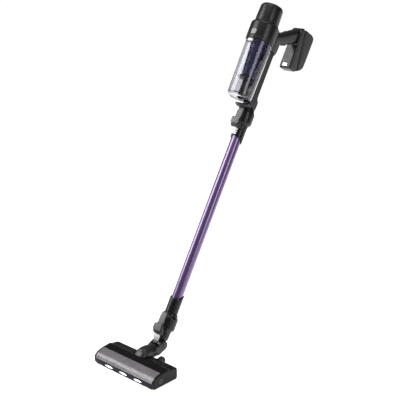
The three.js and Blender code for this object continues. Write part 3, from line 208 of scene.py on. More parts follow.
def revolve(profile, steps=96, closed=False, squeeze=1.0, y=0.0):
    """A profile of (radius, height) points turned about Z. A third value tilts its ring with y."""
    vertices, faces, rows = [], [], []
    for point in profile:
        radius, height = point[0], point[1]
        tilt = point[2] if len(point) > 2 else 0.0
        if radius < 1e-4:
            rows.append([len(vertices)])
            vertices.append(Vector((0, y, height)))
            continue
        rows.append(list(range(len(vertices), len(vertices) + steps)))
        for i in range(steps):
            angle = 2 * math.pi * i / steps
            lift = tilt * math.sin(angle)
            vertices.append(
                Vector((squeeze * radius * math.cos(angle), y + radius * math.sin(angle), height + lift))
            )
    pairs = list(zip(rows, rows[1:])) + ([(rows[-1], rows[0])] if closed else [])
    for low, high in pairs:
        for i in range(steps):
            j = (i + 1) % steps
            if len(low) == 1 and len(high) == 1:
                continue
            if len(low) == 1:
                faces.append((low[0], high[j], high[i]))
            elif len(high) == 1:
                faces.append((low[i], low[j], high[0]))
            else:
                faces.append((low[i], low[j], high[j], high[i]))
    return vertices, faces


def block(a0, a1, b0, b1, radius, low, high, edge=1, axis="x", low_edge=None):
    """A rounded rectangle drawn out along an axis."""
    return prism(rounded_box(a0, a1, b0, b1, radius), low, high, edge, axis, low_edge)


def turned(profile, radius=1, steps=96, closed=False):
    """A profile with rounded corners, turned about Z."""
    return revolve(fillet(profile, radius, 4, closed), steps, closed)


def moved(shape, matrix):
    vertices, faces = shape
    return [matrix @ v for v in vertices], faces


def superellipse(half_a, half_b, power, steps=48):
    made = []
    for i in range(steps):
        angle = 2 * math.pi * i / steps
        c, s = math.cos(angle), math.sin(angle)
        made.append((
            half_a * math.copysign(abs(c) ** (2 / power), c),
            half_b * math.copysign(abs(s) ** (2 / power), s),
        ))
    return made


# ---------- objects ----------

def mesh_of(shapes, space):
    mesh = bpy.data.meshes.new("mesh")
    vertices, faces = [], []
    for shape_vertices, shape_faces in shapes:
        start = len(vertices)
        vertices += [(space @ v) * MM for v in shape_vertices]
        faces += [tuple(start + i for i in face) for face in shape_faces]
    mesh.from_pydata(vertices, [], faces)
    work = bmesh.new()
    work.from_mesh(mesh)
    bmesh.ops.remove_doubles(work, verts=work.verts, dist=0.002 * MM)
    bmesh.ops.recalc_face_normals(work, faces=work.faces)
    work.to_mesh(mesh)
    work.free()
    return mesh


def bare(name, shapes, space=WAND):
    obj = bpy.data.objects.new(name, mesh_of(shapes, space))
    bpy.context.scene.collection.objects.link(obj)
    return obj


def tool(shape, space=WAND):
    return bare("tool", [shape], space)


def boolean(obj, tools, operation):
    """Joins tools to an object, or cuts them out of it, and keeps the result as its mesh."""
    for tool in tools:
        modifier = obj.modifiers.new("boolean", "BOOLEAN")
        modifier.operation = operation
        modifier.solver = "MANIFOLD"
        modifier.object = tool
    graph = bpy.context.evaluated_depsgraph_get()
    made = bpy.data.meshes.new_from_object(obj.evaluated_get(graph))
    obj.modifiers.clear()
    obj.data = made
    for tool in tools:
        bpy.data.objects.remove(tool)
    return obj


def cut(obj, *shapes, space=WAND):
    return boolean(obj, [tool(shape, space) for shape in shapes], "DIFFERENCE")


def fuse(obj, *shapes, space=WAND):
    return boolean(obj, [tool(shape, space) for shape in shapes], "UNION")


SHARP = math.radians(32)


def finish_piece(obj, body, material, nodes, sharp=SHARP):
    obj.data.materials.clear()
    obj.data.materials.append(material)
    obj.data.shade_smooth()
    obj.data.set_sharp_from_angle(angle=sharp)
    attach(obj, body)
    if nodes:
        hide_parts(*nodes)
    return obj


def piece(name, shapes, body, material, nodes=(), space=WAND, sharp=SHARP):
    return finish_piece(bare(name, shapes, space), body, material, nodes, sharp)


# ---------- materials ----------

def new_material(name):
    material = bpy.data.materials.new(name)
    material.use_nodes = True
    tree = material.node_tree
    shader = tree.nodes["Principled BSDF"]
    where = tree.nodes.new("ShaderNodeTexCoord").outputs["Object"]
    return material, tree, shader, where


def noise(tree, where, scale, detail=4.0, stretch=(1, 1, 1), rough=0.55, lean=0.0):
    if lean:
        upright = tree.nodes.new("ShaderNodeMapping")
        upright.inputs["Rotation"].default_value = (lean, 0, 0)
        tree.links.new(where, upright.inputs["Vector"])
        where = upright.outputs["Vector"]
    mapping = tree.nodes.new("ShaderNodeMapping")
    mapping.inputs["Scale"].default_value = stretch
    tree.links.new(where, mapping.inputs["Vector"])
    made = tree.nodes.new("ShaderNodeTexNoise")
    made.inputs["Scale"].default_value = scale
    made.inputs["Detail"].default_value = detail
    made.inputs["Roughness"].default_value = rough
    tree.links.new(mapping.outputs["Vector"], made.inputs["Vector"])
    return made.outputs["Fac"]


def ramp(tree, value, stops):
    made = tree.nodes.new("ShaderNodeValToRGB")
    while len(made.color_ramp.elements) < len(stops):
        made.color_ramp.elements.new(0.5)
    for element, (place, color) in zip(made.color_ramp.elements, stops):
        element.position = place
        element.color = (*color, 1) if len(color) == 3 else color
    tree.links.new(value, made.inputs["Fac"])
    return made.outputs["Color"]


def grey(value):
    return (value, value, value)


def spread(tree, value, low, high, start=0.35, end=0.65):
    made = tree.nodes.new("ShaderNodeMapRange")
    made.inputs["From Min"].default_value = start
    made.inputs["From Max"].default_value = end
    made.inputs["To Min"].default_value = low
    made.inputs["To Max"].default_value = high
    tree.links.new(value, made.inputs["Value"])
    return made.outputs["Result"]


def bump(tree, shader, height, strength, distance):
    made = tree.nodes.new("ShaderNodeBump")
    made.inputs["Strength"].default_value = strength
    made.inputs["Distance"].default_value = distance
    tree.links.new(height, made.inputs["Height"])
    tree.links.new(made.outputs["Normal"], shader.inputs["Normal"])


def moulded(name, dark, light, rough, grain=2600, strength=0.25, coat=0.0, gloss=0.5):
    """Moulded plastic: a fine spark-eroded grain, faint cloudy colour and slightly uneven gloss."""
    material, tree, shader, where = new_material(name)
    clouds = noise(tree, where, 38, 5)
    tree.links.new(ramp(tree, clouds, [(0.3, dark), (0.7, light)]), shader.inputs["Base Color"])
    tree.links.new(spread(tree, noise(tree, where, 90, 3), rough - 0.04, rough + 0.06),
        shader.inputs["Roughness"])
    bump(tree, shader, noise(tree, where, grain, 2), strength, 0.05 * MM)
    shader.inputs["Specular IOR Level"].default_value = gloss
    shader.inputs["Coat Weight"].default_value = coat
    shader.inputs["Coat Roughness"].default_value = 0.12
    return material


def metal(name, dark, light, rough, stretch=(1, 1, 1), scale=700, metallic=1.0, coat=0.0, lean=0.0):
    """Brushed or turned metal: fine streaks along one direction."""
    material, tree, shader, where = new_material(name)
    streaks = noise(tree, where, scale, 3, stretch, lean=lean)
    tree.links.new(ramp(tree, streaks, [(0.3, dark), (0.7, light)]), shader.inputs["Base Color"])
    tree.links.new(spread(tree, streaks, rough - 0.05, rough + 0.07), shader.inputs["Roughness"])
    shader.inputs["Metallic"].default_value = metallic
    shader.inputs["Coat Weight"].default_value = coat
    shader.inputs["Coat Roughness"].default_value = 0.15
    bump(tree, shader, streaks, 0.12, 0.03 * MM)
    return material


def see_through(name, color, rough, transmission=1.0, smoke=(1, 1, 1)):
    """Clear moulded plastic with faint flow marks and fine handling haze."""
    material, tree, shader, where = new_material(name)
    marks = noise(tree, where, 55, 6)
    tree.links.new(ramp(tree, marks, [(0.35, color), (0.65, smoke)]), shader.inputs["Base Color"])
    tree.links.new(spread(tree, noise(tree, where, 22, 2), rough, rough + 0.012), shader.inputs["Roughness"])
    shader.inputs["IOR"].default_value = 1.5
    shader.inputs["Transmission Weight"].default_value = transmission
    bump(tree, shader, noise(tree, where, 12, 1), 0.006, 0.05 * MM)
    return material


def glowing(name, color, strength):
    material, tree, shader, where = new_material(name)
    cells = noise(tree, where, 900, 2)
    tree.links.new(ramp(tree, cells, [(0.3, grey(0.8)), (0.7, grey(0.95))]), shader.inputs["Base Color"])
    tree.links.new(ramp(tree, cells, [(0.2, color), (0.8, (1, 1, 1))]), shader.inputs["Emission Color"])
    shader.inputs["Emission Strength"].default_value = strength
    shader.inputs["Roughness"].default_value = 0.15
    bump(tree, shader, cells, 0.1, 0.05 * MM)
    return material


BLACK = moulded("black_satin", (0.003, 0.003, 0.0035), (0.0055, 0.0055, 0.0063), 0.26, gloss=0.4)
HEAD_BLACK = moulded("head_black", (0.0022, 0.0022, 0.0026), (0.0042, 0.0042, 0.0048), 0.24, gloss=0.2)
CHARCOAL = moulded("charcoal_satin", (0.0045, 0.0045, 0.005), (0.0075, 0.0075, 0.0084), 0.30)
GRAPHITE = moulded("graphite_satin", (0.11, 0.11, 0.116), (0.145, 0.145, 0.152), 0.38)
WHITE = moulded("white_satin", (0.78, 0.78, 0.79), (0.86, 0.86, 0.87), 0.32, strength=0.15)
PURPLE = moulded("purple_gloss", (0.045, 0.030, 0.17), (0.075, 0.05, 0.25), 0.22, strength=0.1, coat=0.4)
RUBBER = moulded("rubber", (0.009, 0.009, 0.009), (0.017, 0.017, 0.017), 0.7, grain=900, strength=0.5)
BRISTLE = moulded("bristle", (0.10, 0.018, 0.03), (0.2, 0.045, 0.065), 0.8, grain=1500, strength=1.0)
FOAM = moulded("filter_felt", (0.56, 0.56, 0.52), (0.74, 0.74, 0.70), 0.9, grain=1100, strength=0.9)
BOARD = moulded("circuit_board", (0.01, 0.07, 0.025), (0.02, 0.12, 0.045), 0.35, grain=500, strength=0.6)
WRAP = moulded("cell_wrap", (0.02, 0.15, 0.18), (0.035, 0.21, 0.25), 0.25, strength=0.1)
BADGE = moulded("badge_print", (0.27, 0.27, 0.275), (0.36, 0.36, 0.365), 0.4, strength=0.1)
GRAPHITE_DARK = moulded("graphite_dark", (0.014, 0.014, 0.0155), (0.021, 0.021, 0.023), 0.30)
HOOD = moulded("hood_indigo", (0.010, 0.008, 0.032), (0.016, 0.012, 0.048), 0.25, strength=0.1)
LINER = moulded("liner_grey", (0.055, 0.055, 0.062), (0.085, 0.085, 0.095), 0.3)
CHARCOAL_INNER = moulded("charcoal_inner", (0.014, 0.014, 0.018), (0.022, 0.022, 0.027), 0.38)
STEEL = metal("brushed_steel", grey(0.42), grey(0.62), 0.28, stretch=(0.05, 1, 1))
LATCH_METAL = metal("latch_metal", grey(0.62), grey(0.82), 0.22, stretch=(0.04, 1, 1))
LEAN = math.acos(WAND_UP.z)
TUBE = metal(
    "anodised_tube", (0.185, 0.122, 0.265), (0.21, 0.14, 0.295), 0.27,
    stretch=(1, 1, 0.02), scale=420, metallic=0.85, coat=0.6, lean=LEAN,
)
CLEAR = see_through("clear_cup", (0.66, 0.66, 0.71), 0.012, smoke=(0.72, 0.72, 0.76))
SMOKY = see_through("smoky_window", (0.36, 0.34, 0.36), 0.14, transmission=0.55, smoke=(0.43, 0.41, 0.43))
LAMP = glowing("lamp_lens", (0.9, 0.95, 1.0), 2.6)
PIN_METAL = metal("blackened_steel", grey(0.05), grey(0.10), 0.3, stretch=(0.05, 1, 1))
TINT = moulded("lamp_band", (0.003, 0.004, 0.010), (0.005, 0.007, 0.017), 0.22, strength=0.05, gloss=0.12)

# ---------- wand and couplings ----------

def build_tube():
    low, high = span("wand_tube")
    outer = high.x
    wall = 1.5
    profile = [(outer - wall, low.z), (outer, low.z), (outer, high.z), (outer - wall, high.z)]
    piece("tube", [turned(profile, 0.3, 128, True)], "wand", TUBE, ["wand_tube"])


def build_lower_sleeve():
    low, high = span("wand_lower_sleeve")
    socket = span("lower_socket")[1].z
    tube = span("wand_tube")[0]
    outer = high.x
    plug = span("wand_tube")[1].x
    bore = plug - 3.5
    seat = socket + 0.3
    rear = high.z
    slant = 9
    middle = rear - slant
    edge = 0.8
    inner = plug + 0.3
    profile = [
        (bore, low.z), (plug - 1, low.z), (plug, low.z + 1.5), (plug, seat), (outer - 1.2, seat),
        (outer, seat + 1.2), (outer, seat + 14), (outer - 0.5, seat + 14.6),
        (outer - 0.5, seat + 15.6), (outer, seat + 16.2), (outer, middle - 10, slant * 0.8),
        (outer, middle - edge, slant), (outer - edge * 0.3, middle - edge * 0.3, slant),
        (outer - edge, middle, slant), (inner + 0.3, middle, slant * 0.93),
        (inner, middle - 0.5, slant * 0.9), (inner, tube.z - 0.3), (bore, tube.z - 0.3),
    ]
    piece("lower_sleeve", [revolve(profile, 96, True)], "wand", BLACK, ["wand_lower_sleeve"])


def build_upper_sleeve():
    low, high = span("wand_upper_sleeve")
    tube = span("wand_tube")[1]
    outer = high.x
    inner = tube.x + 0.3
    bore = tube.x - 3.5
    slant = -9
    middle = low.z - slant
    edge = 0.8
    top = high.z
    profile = [
        (inner, middle + 0.5, slant * 0.9), (inner + 0.3, middle, slant * 0.93),
        (outer - edge, middle, slant), (outer - edge * 0.3, middle + edge * 0.3, slant),
        (outer, middle + edge, slant), (outer, middle + 8, slant * 0.6), (outer, top - 1.2),
        (outer - 1.2, top), (bore, top), (bore, tube.z + 0.3), (inner, tube.z + 0.3),
    ]
    piece("upper_sleeve", [revolve(profile, 96, True)], "wand", BLACK, ["wand_upper_sleeve"])


def build_coupling(level, body, key):
    socket_low, socket_high = span(f"{level}_socket")
    base, top = socket_low.z, socket_high.z
    flare = socket_high.x
    neck = flare - 8
    plug = span("wand_tube")[1].x + 0.4
    bore = plug - 3.9
    button_low, button_high = span(f"{level}_button")
    half = button_high.x
    stem_half = 9.5

    def at(height):
        return base + height

    outside = [
        (0, base), (neck - 0.8, base, 0), (neck, at(0.8)), (neck + 0.4, at(9)), (neck + 1, at(16)),
        (flare, at(24)), (flare, at(57)), (neck + 4, at(63)), (neck + 3, top), (0, top),
    ]
    barrel = turned(outside, 2.2, 96)
    socket = bare(f"{level}_socket_body", [barrel])
    rim = prism(
        rounded([(socket_low.y, at(9.4)), (socket_low.y + 0.6, at(6.5)), (socket_low.y + 8, base),
            (-12, base), (-12, at(9.4))], 0.8), -half, half, 1.2, "x", 1.2,
    )
    seat = block(-half + 0.6, half - 0.6, -32.4, -12, 2, at(5), at(33), 1, "z")
    spine = prism(rounded_box(-stem_half + 0.6, stem_half - 0.6, at(20), at(68), 2.5), -21.6, -12, 0.8, "y")
    fuse(socket, rim, seat, spine)
    room = block(-stem_half - 0.4, stem_half + 0.4, at(33.4), at(67), 3.5, -45, -21.7, 0, "y")
    band_room = block(-half - 1, half + 1, at(9.5), at(33.2), 1, -45, -32.6, 0, "y")
    bridge_room = block(-stem_half - 0.4, stem_half + 0.4, at(26), at(40), 1, -45, -21.7, 0, "y")
    plug_bore = revolve([(0, at(10)), (plug, at(10)), (plug, top - 0.8), (plug + 1.6, top + 1),
        (0, top + 1)], 96)
    air_bore = revolve([(0, base - 1), (bore, base - 1), (bore, at(11)), (0, at(11))], 64)
    groove = revolve([(flare - 0.7, at(49.4)), (flare + 2, at(49.4)), (flare + 2, at(50.4)),
        (flare - 0.7, at(50.4))], 96, True)
    cut(socket, room, band_room, bridge_room, plug_bore, air_bore, groove)
    finish_piece(socket, body, BLACK, [f"{level}_socket"])

    front = button_low.y
    thick = 5
    stem_front = front + 11
    button = bare(f"{level}_release_button", [
        block(-half, half, at(10), at(30), 1.4, front, front + thick, 0.8, "y", 0.8),
    ])
    stem = block(-stem_half, stem_half, at(28.5), at(66.5), 1.4, stem_front, stem_front + thick,
        0.8, "y", 0.8)
    slope = prism(
        fillet([(front + 0.9, at(26)), (front + 0.9, at(29.6)), (stem_front + 1, at(31.5)),
            (stem_front + thick, at(36)), (stem_front + thick, at(28)), (front + thick, at(26))], 0.5),
        -stem_half, stem_half, 0.8, "x",
    )
    fuse(button, stem, slope)
    finish_piece(button, key, GRAPHITE, [f"{level}_button"])

    low, high = span(f"{level}_tab")
    tab = fillet([
        (low.y, high.z), (low.y + 1, high.z - 8), (-neck - 2, low.z), (high.y, low.z), (high.y, high.z),
    ], 1.6)
    piece(f"{level}_release_tab", [prism(tab, low.x, high.x, 1.5)], body, WHITE,
        [f"{level}_tab"])


build_tube()
build_lower_sleeve()
build_upper_sleeve()
build_coupling("lower", "elbow", "lower_key")
build_coupling("upper", "wand", "upper_key")


# ---------- floor head ----------

def bezier(start, pull, end, steps=24):
    """Points of a quadratic curve in a plane, both ends included."""
    return [
        tuple((1 - t) ** 2 * a + 2 * t * (1 - t) * b + t ** 2 * c for a, b, c in zip(start, pull, end))
        for t in (k / steps for k in range(steps + 1))
    ]


CAP_LOW, CAP_HIGH = span("end_cap_right", FLOOR)
SHELL_WALL = 2.4
HEAD_FRONT, HEAD_REAR = CAP_LOW.y, CAP_HIGH.y
SOLE, RIDGE_TOP = CAP_LOW.z, CAP_HIGH.z
SHELL_LOW, SHELL_HIGH = span("bumper_bar", FLOOR)
SHELL_HALF = SHELL_HIGH.x
BUMPER_TOP = SHELL_HIGH.z
WINDOW_LOW, WINDOW_HIGH = span("brush_window", FLOOR)
WINDOW_REAR, WINDOW_TOP = WINDOW_HIGH.y, WINDOW_HIGH.z
DECK_TOP = RIDGE_TOP - 2.6
DECK_REAR = DECK_TOP - 5.1
RIDGE_Y = -12
ELBOW_DRUM_HALF = 16
WHEEL_BORE = 3.3
LAMP_HEIGHT_SHARE, LAMP_DROP = 0.68, 1


def window_curve(wall=0.0, steps=24):
    lift = WINDOW_TOP - BUMPER_TOP
    pull = (HEAD_FRONT + 1.5 + wall, BUMPER_TOP + lift * 0.79 - wall)
    return bezier((HEAD_FRONT + wall, BUMPER_TOP + 0.3), pull, (WINDOW_REAR, WINDOW_TOP - wall), steps)


def cap_outline():
    front = fillet([(HEAD_REAR - 5, SOLE), (HEAD_FRONT + 5, SOLE), (HEAD_FRONT, SOLE + 5),
        (HEAD_FRONT, BUMPER_TOP)], 3, closed=False)
    back = fillet([
        (WINDOW_REAR, WINDOW_TOP), (RIDGE_Y, RIDGE_TOP), (RIDGE_Y + 4, DECK_TOP),
        (HEAD_REAR, DECK_REAR, 6.5), (HEAD_REAR, SOLE + 5), (HEAD_REAR - 5, SOLE),
    ], 3, closed=False)
    return front[:-1] + window_curve()[:-1] + back[:-1]


def build_end_cap(side, level):
    low, high = span(f"end_cap_{level}", FLOOR)
    edges = (0.4, 2.2) if side > 0 else (2.2, 0.4)
    cap = bare(f"end_cap_{level}_shell", [prism(cap_outline(), low.x, high.x, edges[1], "x", edges[0], 5)],
        FLOOR)
    outer = high.x if side > 0 else low.x
    brush = span("brush_core", FLOOR)
    middle = ((brush[0].y + brush[1].y) / 2, (brush[0].z + brush[1].z) / 2)
    # A shallow panel line inside the rim, and the pocket and slots that carry the brush.
    panel_out = offset(cap_outline(), 4.2)
    panel_in = offset(cap_outline(), 4.8)
    reach = 0.45
    line = skin([
        [Vector((outer + side, a, b)) for a, b in panel_out],
        [Vector((outer - side * reach, a, b)) for a, b in panel_out],
        [Vector((outer - side * reach, a, b)) for a, b in panel_in],
        [Vector((outer + side, a, b)) for a, b in panel_in],
    ], ring=True)
    cut(cap, line, space=FLOOR)
    if side > 0:
        lock_low, lock_high = span("brush_lock", FLOOR)
        room = prism(circle((lock_high.y - lock_low.y) / 2 + 0.4, 64, *middle), lock_low.x - 0.3, outer + 1,
            0)
        hole = prism(circle(4, 32, *middle), low.x - 1, lock_low.x, 0)
        cut(cap, room, hole, space=FLOOR)
    else:
        hole = prism(circle(4, 32, *middle), low.x + 3, high.x + 1, 0)
        cut(cap, hole, space=FLOOR)
    finish_piece(cap, "head", HEAD_BLACK, [f"end_cap_{level}"])


def build_lock():
    low, high = span("brush_lock", FLOOR)
    middle = ((low.y + high.y) / 2, (low.z + high.z) / 2)
    radius = (high.y - low.y) / 2
    disc = bare("brush_lock_disc", [prism(circle(radius, 64, *middle), low.x, high.x, 0.4, "x", 0.1)], FLOOR)
    slot = block(middle[0] - 6, middle[0] + 6, middle[1] - 1.1, middle[1] + 1.1, 1,
        high.x - 0.7, high.x + 1, 0)
    cut(disc, slot, space=FLOOR)
    finish_piece(disc, "lock", CHARCOAL, ["brush_lock"])


def build_window():
    outer = window_curve(0.0, 40)
    inner = window_curve(SHELL_WALL, 40)
    outline = outer + inner[::-1]
    piece("window_shell", [prism(outline, WINDOW_LOW.x, WINDOW_HIGH.x, 0)], "head", SMOKY,
        ["brush_window"], FLOOR)


def lamp_outline(middle, half, high, level, grow=0.0):
    upper = bezier((middle - half - grow, level), (middle, level + high + 2 * grow),
        (middle + half + grow, level), 16)
    lower = bezier((middle + half + grow, level), (middle, level - high - 2 * grow),
        (middle - half - grow, level), 16)
    return upper[:-1] + lower[:-1]


def build_bumper():
    low, high = SHELL_LOW, SHELL_HIGH
    section = fillet([
        (low.y, low.z, 2), (low.y, high.z, 0.4), (high.y, high.z, 0.2), (high.y, low.z, 0.2),
    ], 1)
    bar = bare("bumper_shell", [prism(section, low.x, high.x, 0.2)], FLOOR)
    tools = []
    for place in ("left", "center", "right"):
        lens_low, lens_high = span(f"light_lens_{place}", FLOOR)
        middle = (lens_low.x + lens_high.x) / 2
        half = (lens_high.x - lens_low.x) / 2
        level = (lens_low.z + lens_high.z) / 2 - LAMP_DROP
        tall = (lens_high.z - lens_low.z) * LAMP_HEIGHT_SHARE
        outline = lamp_outline(middle, half, tall, level, 0.3)
        tools.append(prism(outline, low.y - 1, lens_high.y + 0.3, 0, "y"))
        lens = lamp_outline(middle, half, tall, level)
        piece(f"lamp_{place}", [prism(lens, lens_low.y, lens_high.y, 0.1, "y", 0.7)], "head", LAMP,
            [f"light_lens_{place}"], FLOOR)
    # A shallow trough that the lamps stand in.
    board_low, board_high = span("light_board", FLOOR)
    trough = block(board_low.x - 8, board_high.x + 8, 6.6, 15.6, 4, low.y - 1, low.y + 0.5, 0, "y")
    cut(bar, trough, *tools, space=FLOOR)
    finish_piece(bar, "head", TINT, ["bumper_bar"])


def build_housing():
    low, high = span("head_housing", FLOOR)
    inner = HEAD_REAR - SHELL_WALL
    partition = -24.5
    wall = SHELL_WALL
    deck_inside = DECK_TOP - wall
    outline = fillet([
        (WINDOW_REAR + 0.3, WINDOW_TOP, 0.3), (RIDGE_Y, RIDGE_TOP, 2.6),
        (RIDGE_Y + 4, DECK_TOP, 1.5), (HEAD_REAR, DECK_REAR, 4), (HEAD_REAR, low.z, 0),
        (inner, low.z, 0), (inner, DECK_REAR - wall - 1, 2), (RIDGE_Y + 3.4, deck_inside, 0.3),
        (partition + wall, deck_inside, 0), (partition + wall, low.z, 0), (partition, low.z, 0),
        (partition, WINDOW_TOP - wall, 0), (WINDOW_REAR + 0.3, WINDOW_TOP - wall, 0),
    ], 1)
    housing = bare("housing_shell", [prism(outline, -SHELL_HALF, SHELL_HALF, 0)], FLOOR)
    axle_low, axle_high = span("wheel_left", FLOOR)
    wheel = ((axle_low.y + axle_high.y) / 2, (axle_low.z + axle_high.z) / 2)
    axle = span("wheel_axle_right", FLOOR)
    arm_inner = axle[0].x - 0.5
    arms = [
        prism(band((HEAD_REAR - 1, 17), 9, wheel, 7), min(side * arm_inner, side * (arm_inner + 4.4)),
            max(side * arm_inner, side * (arm_inner + 4.4)), 0.8)
        for side in (-1, 1)
    ]
    for arm in arms:
        part = tool(arm, FLOOR)
        bay = prism([(partition, -1), (inner, -1), (inner, DECK_REAR - wall), (partition, DECK_REAR - wall)],
            -SHELL_HALF, SHELL_HALF, 0)
        cut(part, bay, space=FLOOR)
        boolean(housing, [part], "UNION")
    # Ribs along the rear deck, on both sides of the swivel.
    slope = (DECK_TOP - DECK_REAR) / (HEAD_REAR - RIDGE_Y - 4)
    ribs = []
    for side in (-1, 1):
        for k in range(3):
            y = RIDGE_Y + (9.5 + 6.5 * k)
            z = DECK_TOP - (y - RIDGE_Y - 4) * slope
            section = fillet([(y - 1.9, z - 0.6), (y - 1.4, z + 1.0), (y + 1.2, z + 0.8),
                (y + 1.9, z - 0.8)], 0.7)
            ends = sorted((side * 30, side * (SHELL_HALF - 7)))
            ribs.append(prism(section, ends[0], ends[1], 0.7))
    fuse(housing, *ribs, space=FLOOR)
    cover = span("swivel_cover", FLOOR)
    saddle = prism(circle(cover[1].x + 0.4, 96, 0, ROLL.z), cover[0].y - 3, 60, 0, "y")
    air = prism(circle(9, 48, 0, ROLL.z - 13), partition - 1, partition + wall + 1, 0, "y")
    bores = [prism(circle(WHEEL_BORE, 32, *wheel), *sorted((side * 22, side * 33)), 0) for side in (-1, 1)]
    # A groove in front of the ridge, where the hood of the brush chamber ends.
    seam = block(-SHELL_HALF - 1, SHELL_HALF + 1, WINDOW_REAR + 5, WINDOW_REAR + 5.6, 0,
        WINDOW_TOP - 0.2, RIDGE_TOP, 0, "z")
    cut(housing, saddle, air, *bores, seam, space=FLOOR)
    finish_piece(housing, "head", HEAD_BLACK, ["head_housing"])


def build_sole():
    low, high = span("sole_plate", FLOOR)
    glide_low, glide_high = span("glide_strip", FLOOR)
    plate = bare("sole_shell", [block(low.x, high.x, low.y, high.y, 2, low.z, high.z, 0.2, "z",
        0.8)], FLOOR)
    bristles = span("bristle_strip_a", FLOOR)
    mouth = block(bristles[0].x - 2, bristles[1].x + 2.8, HEAD_FRONT + 10, -25.5, 3,
        low.z - 1, high.z + 1, 0, "z")
    notches = [
        block(x - 4, x + 4, HEAD_FRONT - 4, HEAD_FRONT + 6, 2, low.z - 1, low.z + 1.6, 0, "z")
        for x in (-96, -48, 0, 48, 96)
    ]
    cut(plate, mouth, *notches, space=FLOOR)
    finish_piece(plate, "head", HEAD_BLACK, ["sole_plate"])
    strip = rounded_box(glide_low.x, glide_high.x, glide_low.y, glide_high.y, 4)
    piece("glide_pad", [prism(strip, glide_low.z, glide_high.z, 0.1, "z", 0.7)], "head", RUBBER,
        ["glide_strip"], FLOOR)


def build_wheel(side, level):
    low, high = span(f"wheel_{level}", FLOOR)
    middle = Vector(((low.x + high.x) / 2, (low.y + high.y) / 2, (low.z + high.z) / 2))
    radius = (high.y - low.y) / 2
    half = (high.x - low.x) / 2
    bore = WHEEL_BORE
    place = Matrix.Translation(middle) @ Matrix.Rotation(math.pi / 2 * side, 4, "Y")
    tyre = [(radius - 4.5, -half + 0.5), (radius - 2.5, -half), (radius - 1, -half),
        (radius, -half + 1.4), (radius, -0.8), (radius - 0.7, -0.4),
        (radius - 0.7, 0.4), (radius, 0.8), (radius, half - 1.4), (radius - 1, half),
        (radius - 2.5, half), (radius - 4.5, half - 0.5)]
    piece(f"tyre_{level}", [turned(tyre, 0.5, 64, True)], f"{level}_wheel", RUBBER,
        [f"wheel_{level}"], place)
    hub = [(bore, -half), (radius - 5, -half + 0.6), (radius - 4.6, -half + 1.2),
        (radius - 4.6, half - 1.2), (radius - 5.2, half - 0.8),
        (radius - 6, half - 2.2), (bore + 2.2, half - 2.2), (bore + 1.8, half - 0.4), (bore, half - 0.4)]
    piece(f"hub_{level}", [turned(hub, 0.3, 64, True)], f"{level}_wheel", BLACK, [], place)


def build_brush():
    low, high = span("brush_core", FLOOR)
    axis = Vector(((0, (low.y + high.y) / 2, (low.z + high.z) / 2)))
    strip_low, strip_high = span("bristle_strip_a", FLOOR)
    other = span("bristle_strip_b", FLOOR)
    tip = JOINTS["brush_spin"]["pos_m"][2] / MM - min(strip_low.z, other[0].z)
    core = (high.z - low.z) / 2
    tufts = 84
    for name, node in (("a", "bristle_strip_a"), ("b", "bristle_strip_b")):
        far = max((p for p in corners(node, FLOOR) if p.x < strip_low.x + 1),
            key=lambda p: math.hypot(p.y - axis.y, p.z - axis.z))
        begin = math.atan2(far.z - axis.z, far.y - axis.y)
        turn = math.pi
        shapes = []
        for k in range(tufts):
            t = (k + 0.5) / tufts
            x = lerp(strip_low.x, strip_high.x, t)
            angle = begin + turn * t
            out = Vector((0, math.cos(angle), math.sin(angle)))
            side = Vector((0, -math.sin(angle), math.cos(angle)))
            loops = []
            for reach, wide, along in ((core - 0.3, 1.1, 1.0), (lerp(core, tip, 0.5), 1.0, 1.05),
                (tip - 0.2, 1.3, 1.15)):
                loops.append([
                    axis + Vector((x, 0, 0)) + out * reach + Vector((along * a, 0, 0)) + side * wide * b
                    for a, b in ((-1, -1), (1, -1), (1, 1), (-1, 1))
                ])
            shapes.append(skin(loops))
        piece(f"bristles_{name}", shapes, "brush", BRISTLE, [node], FLOOR)


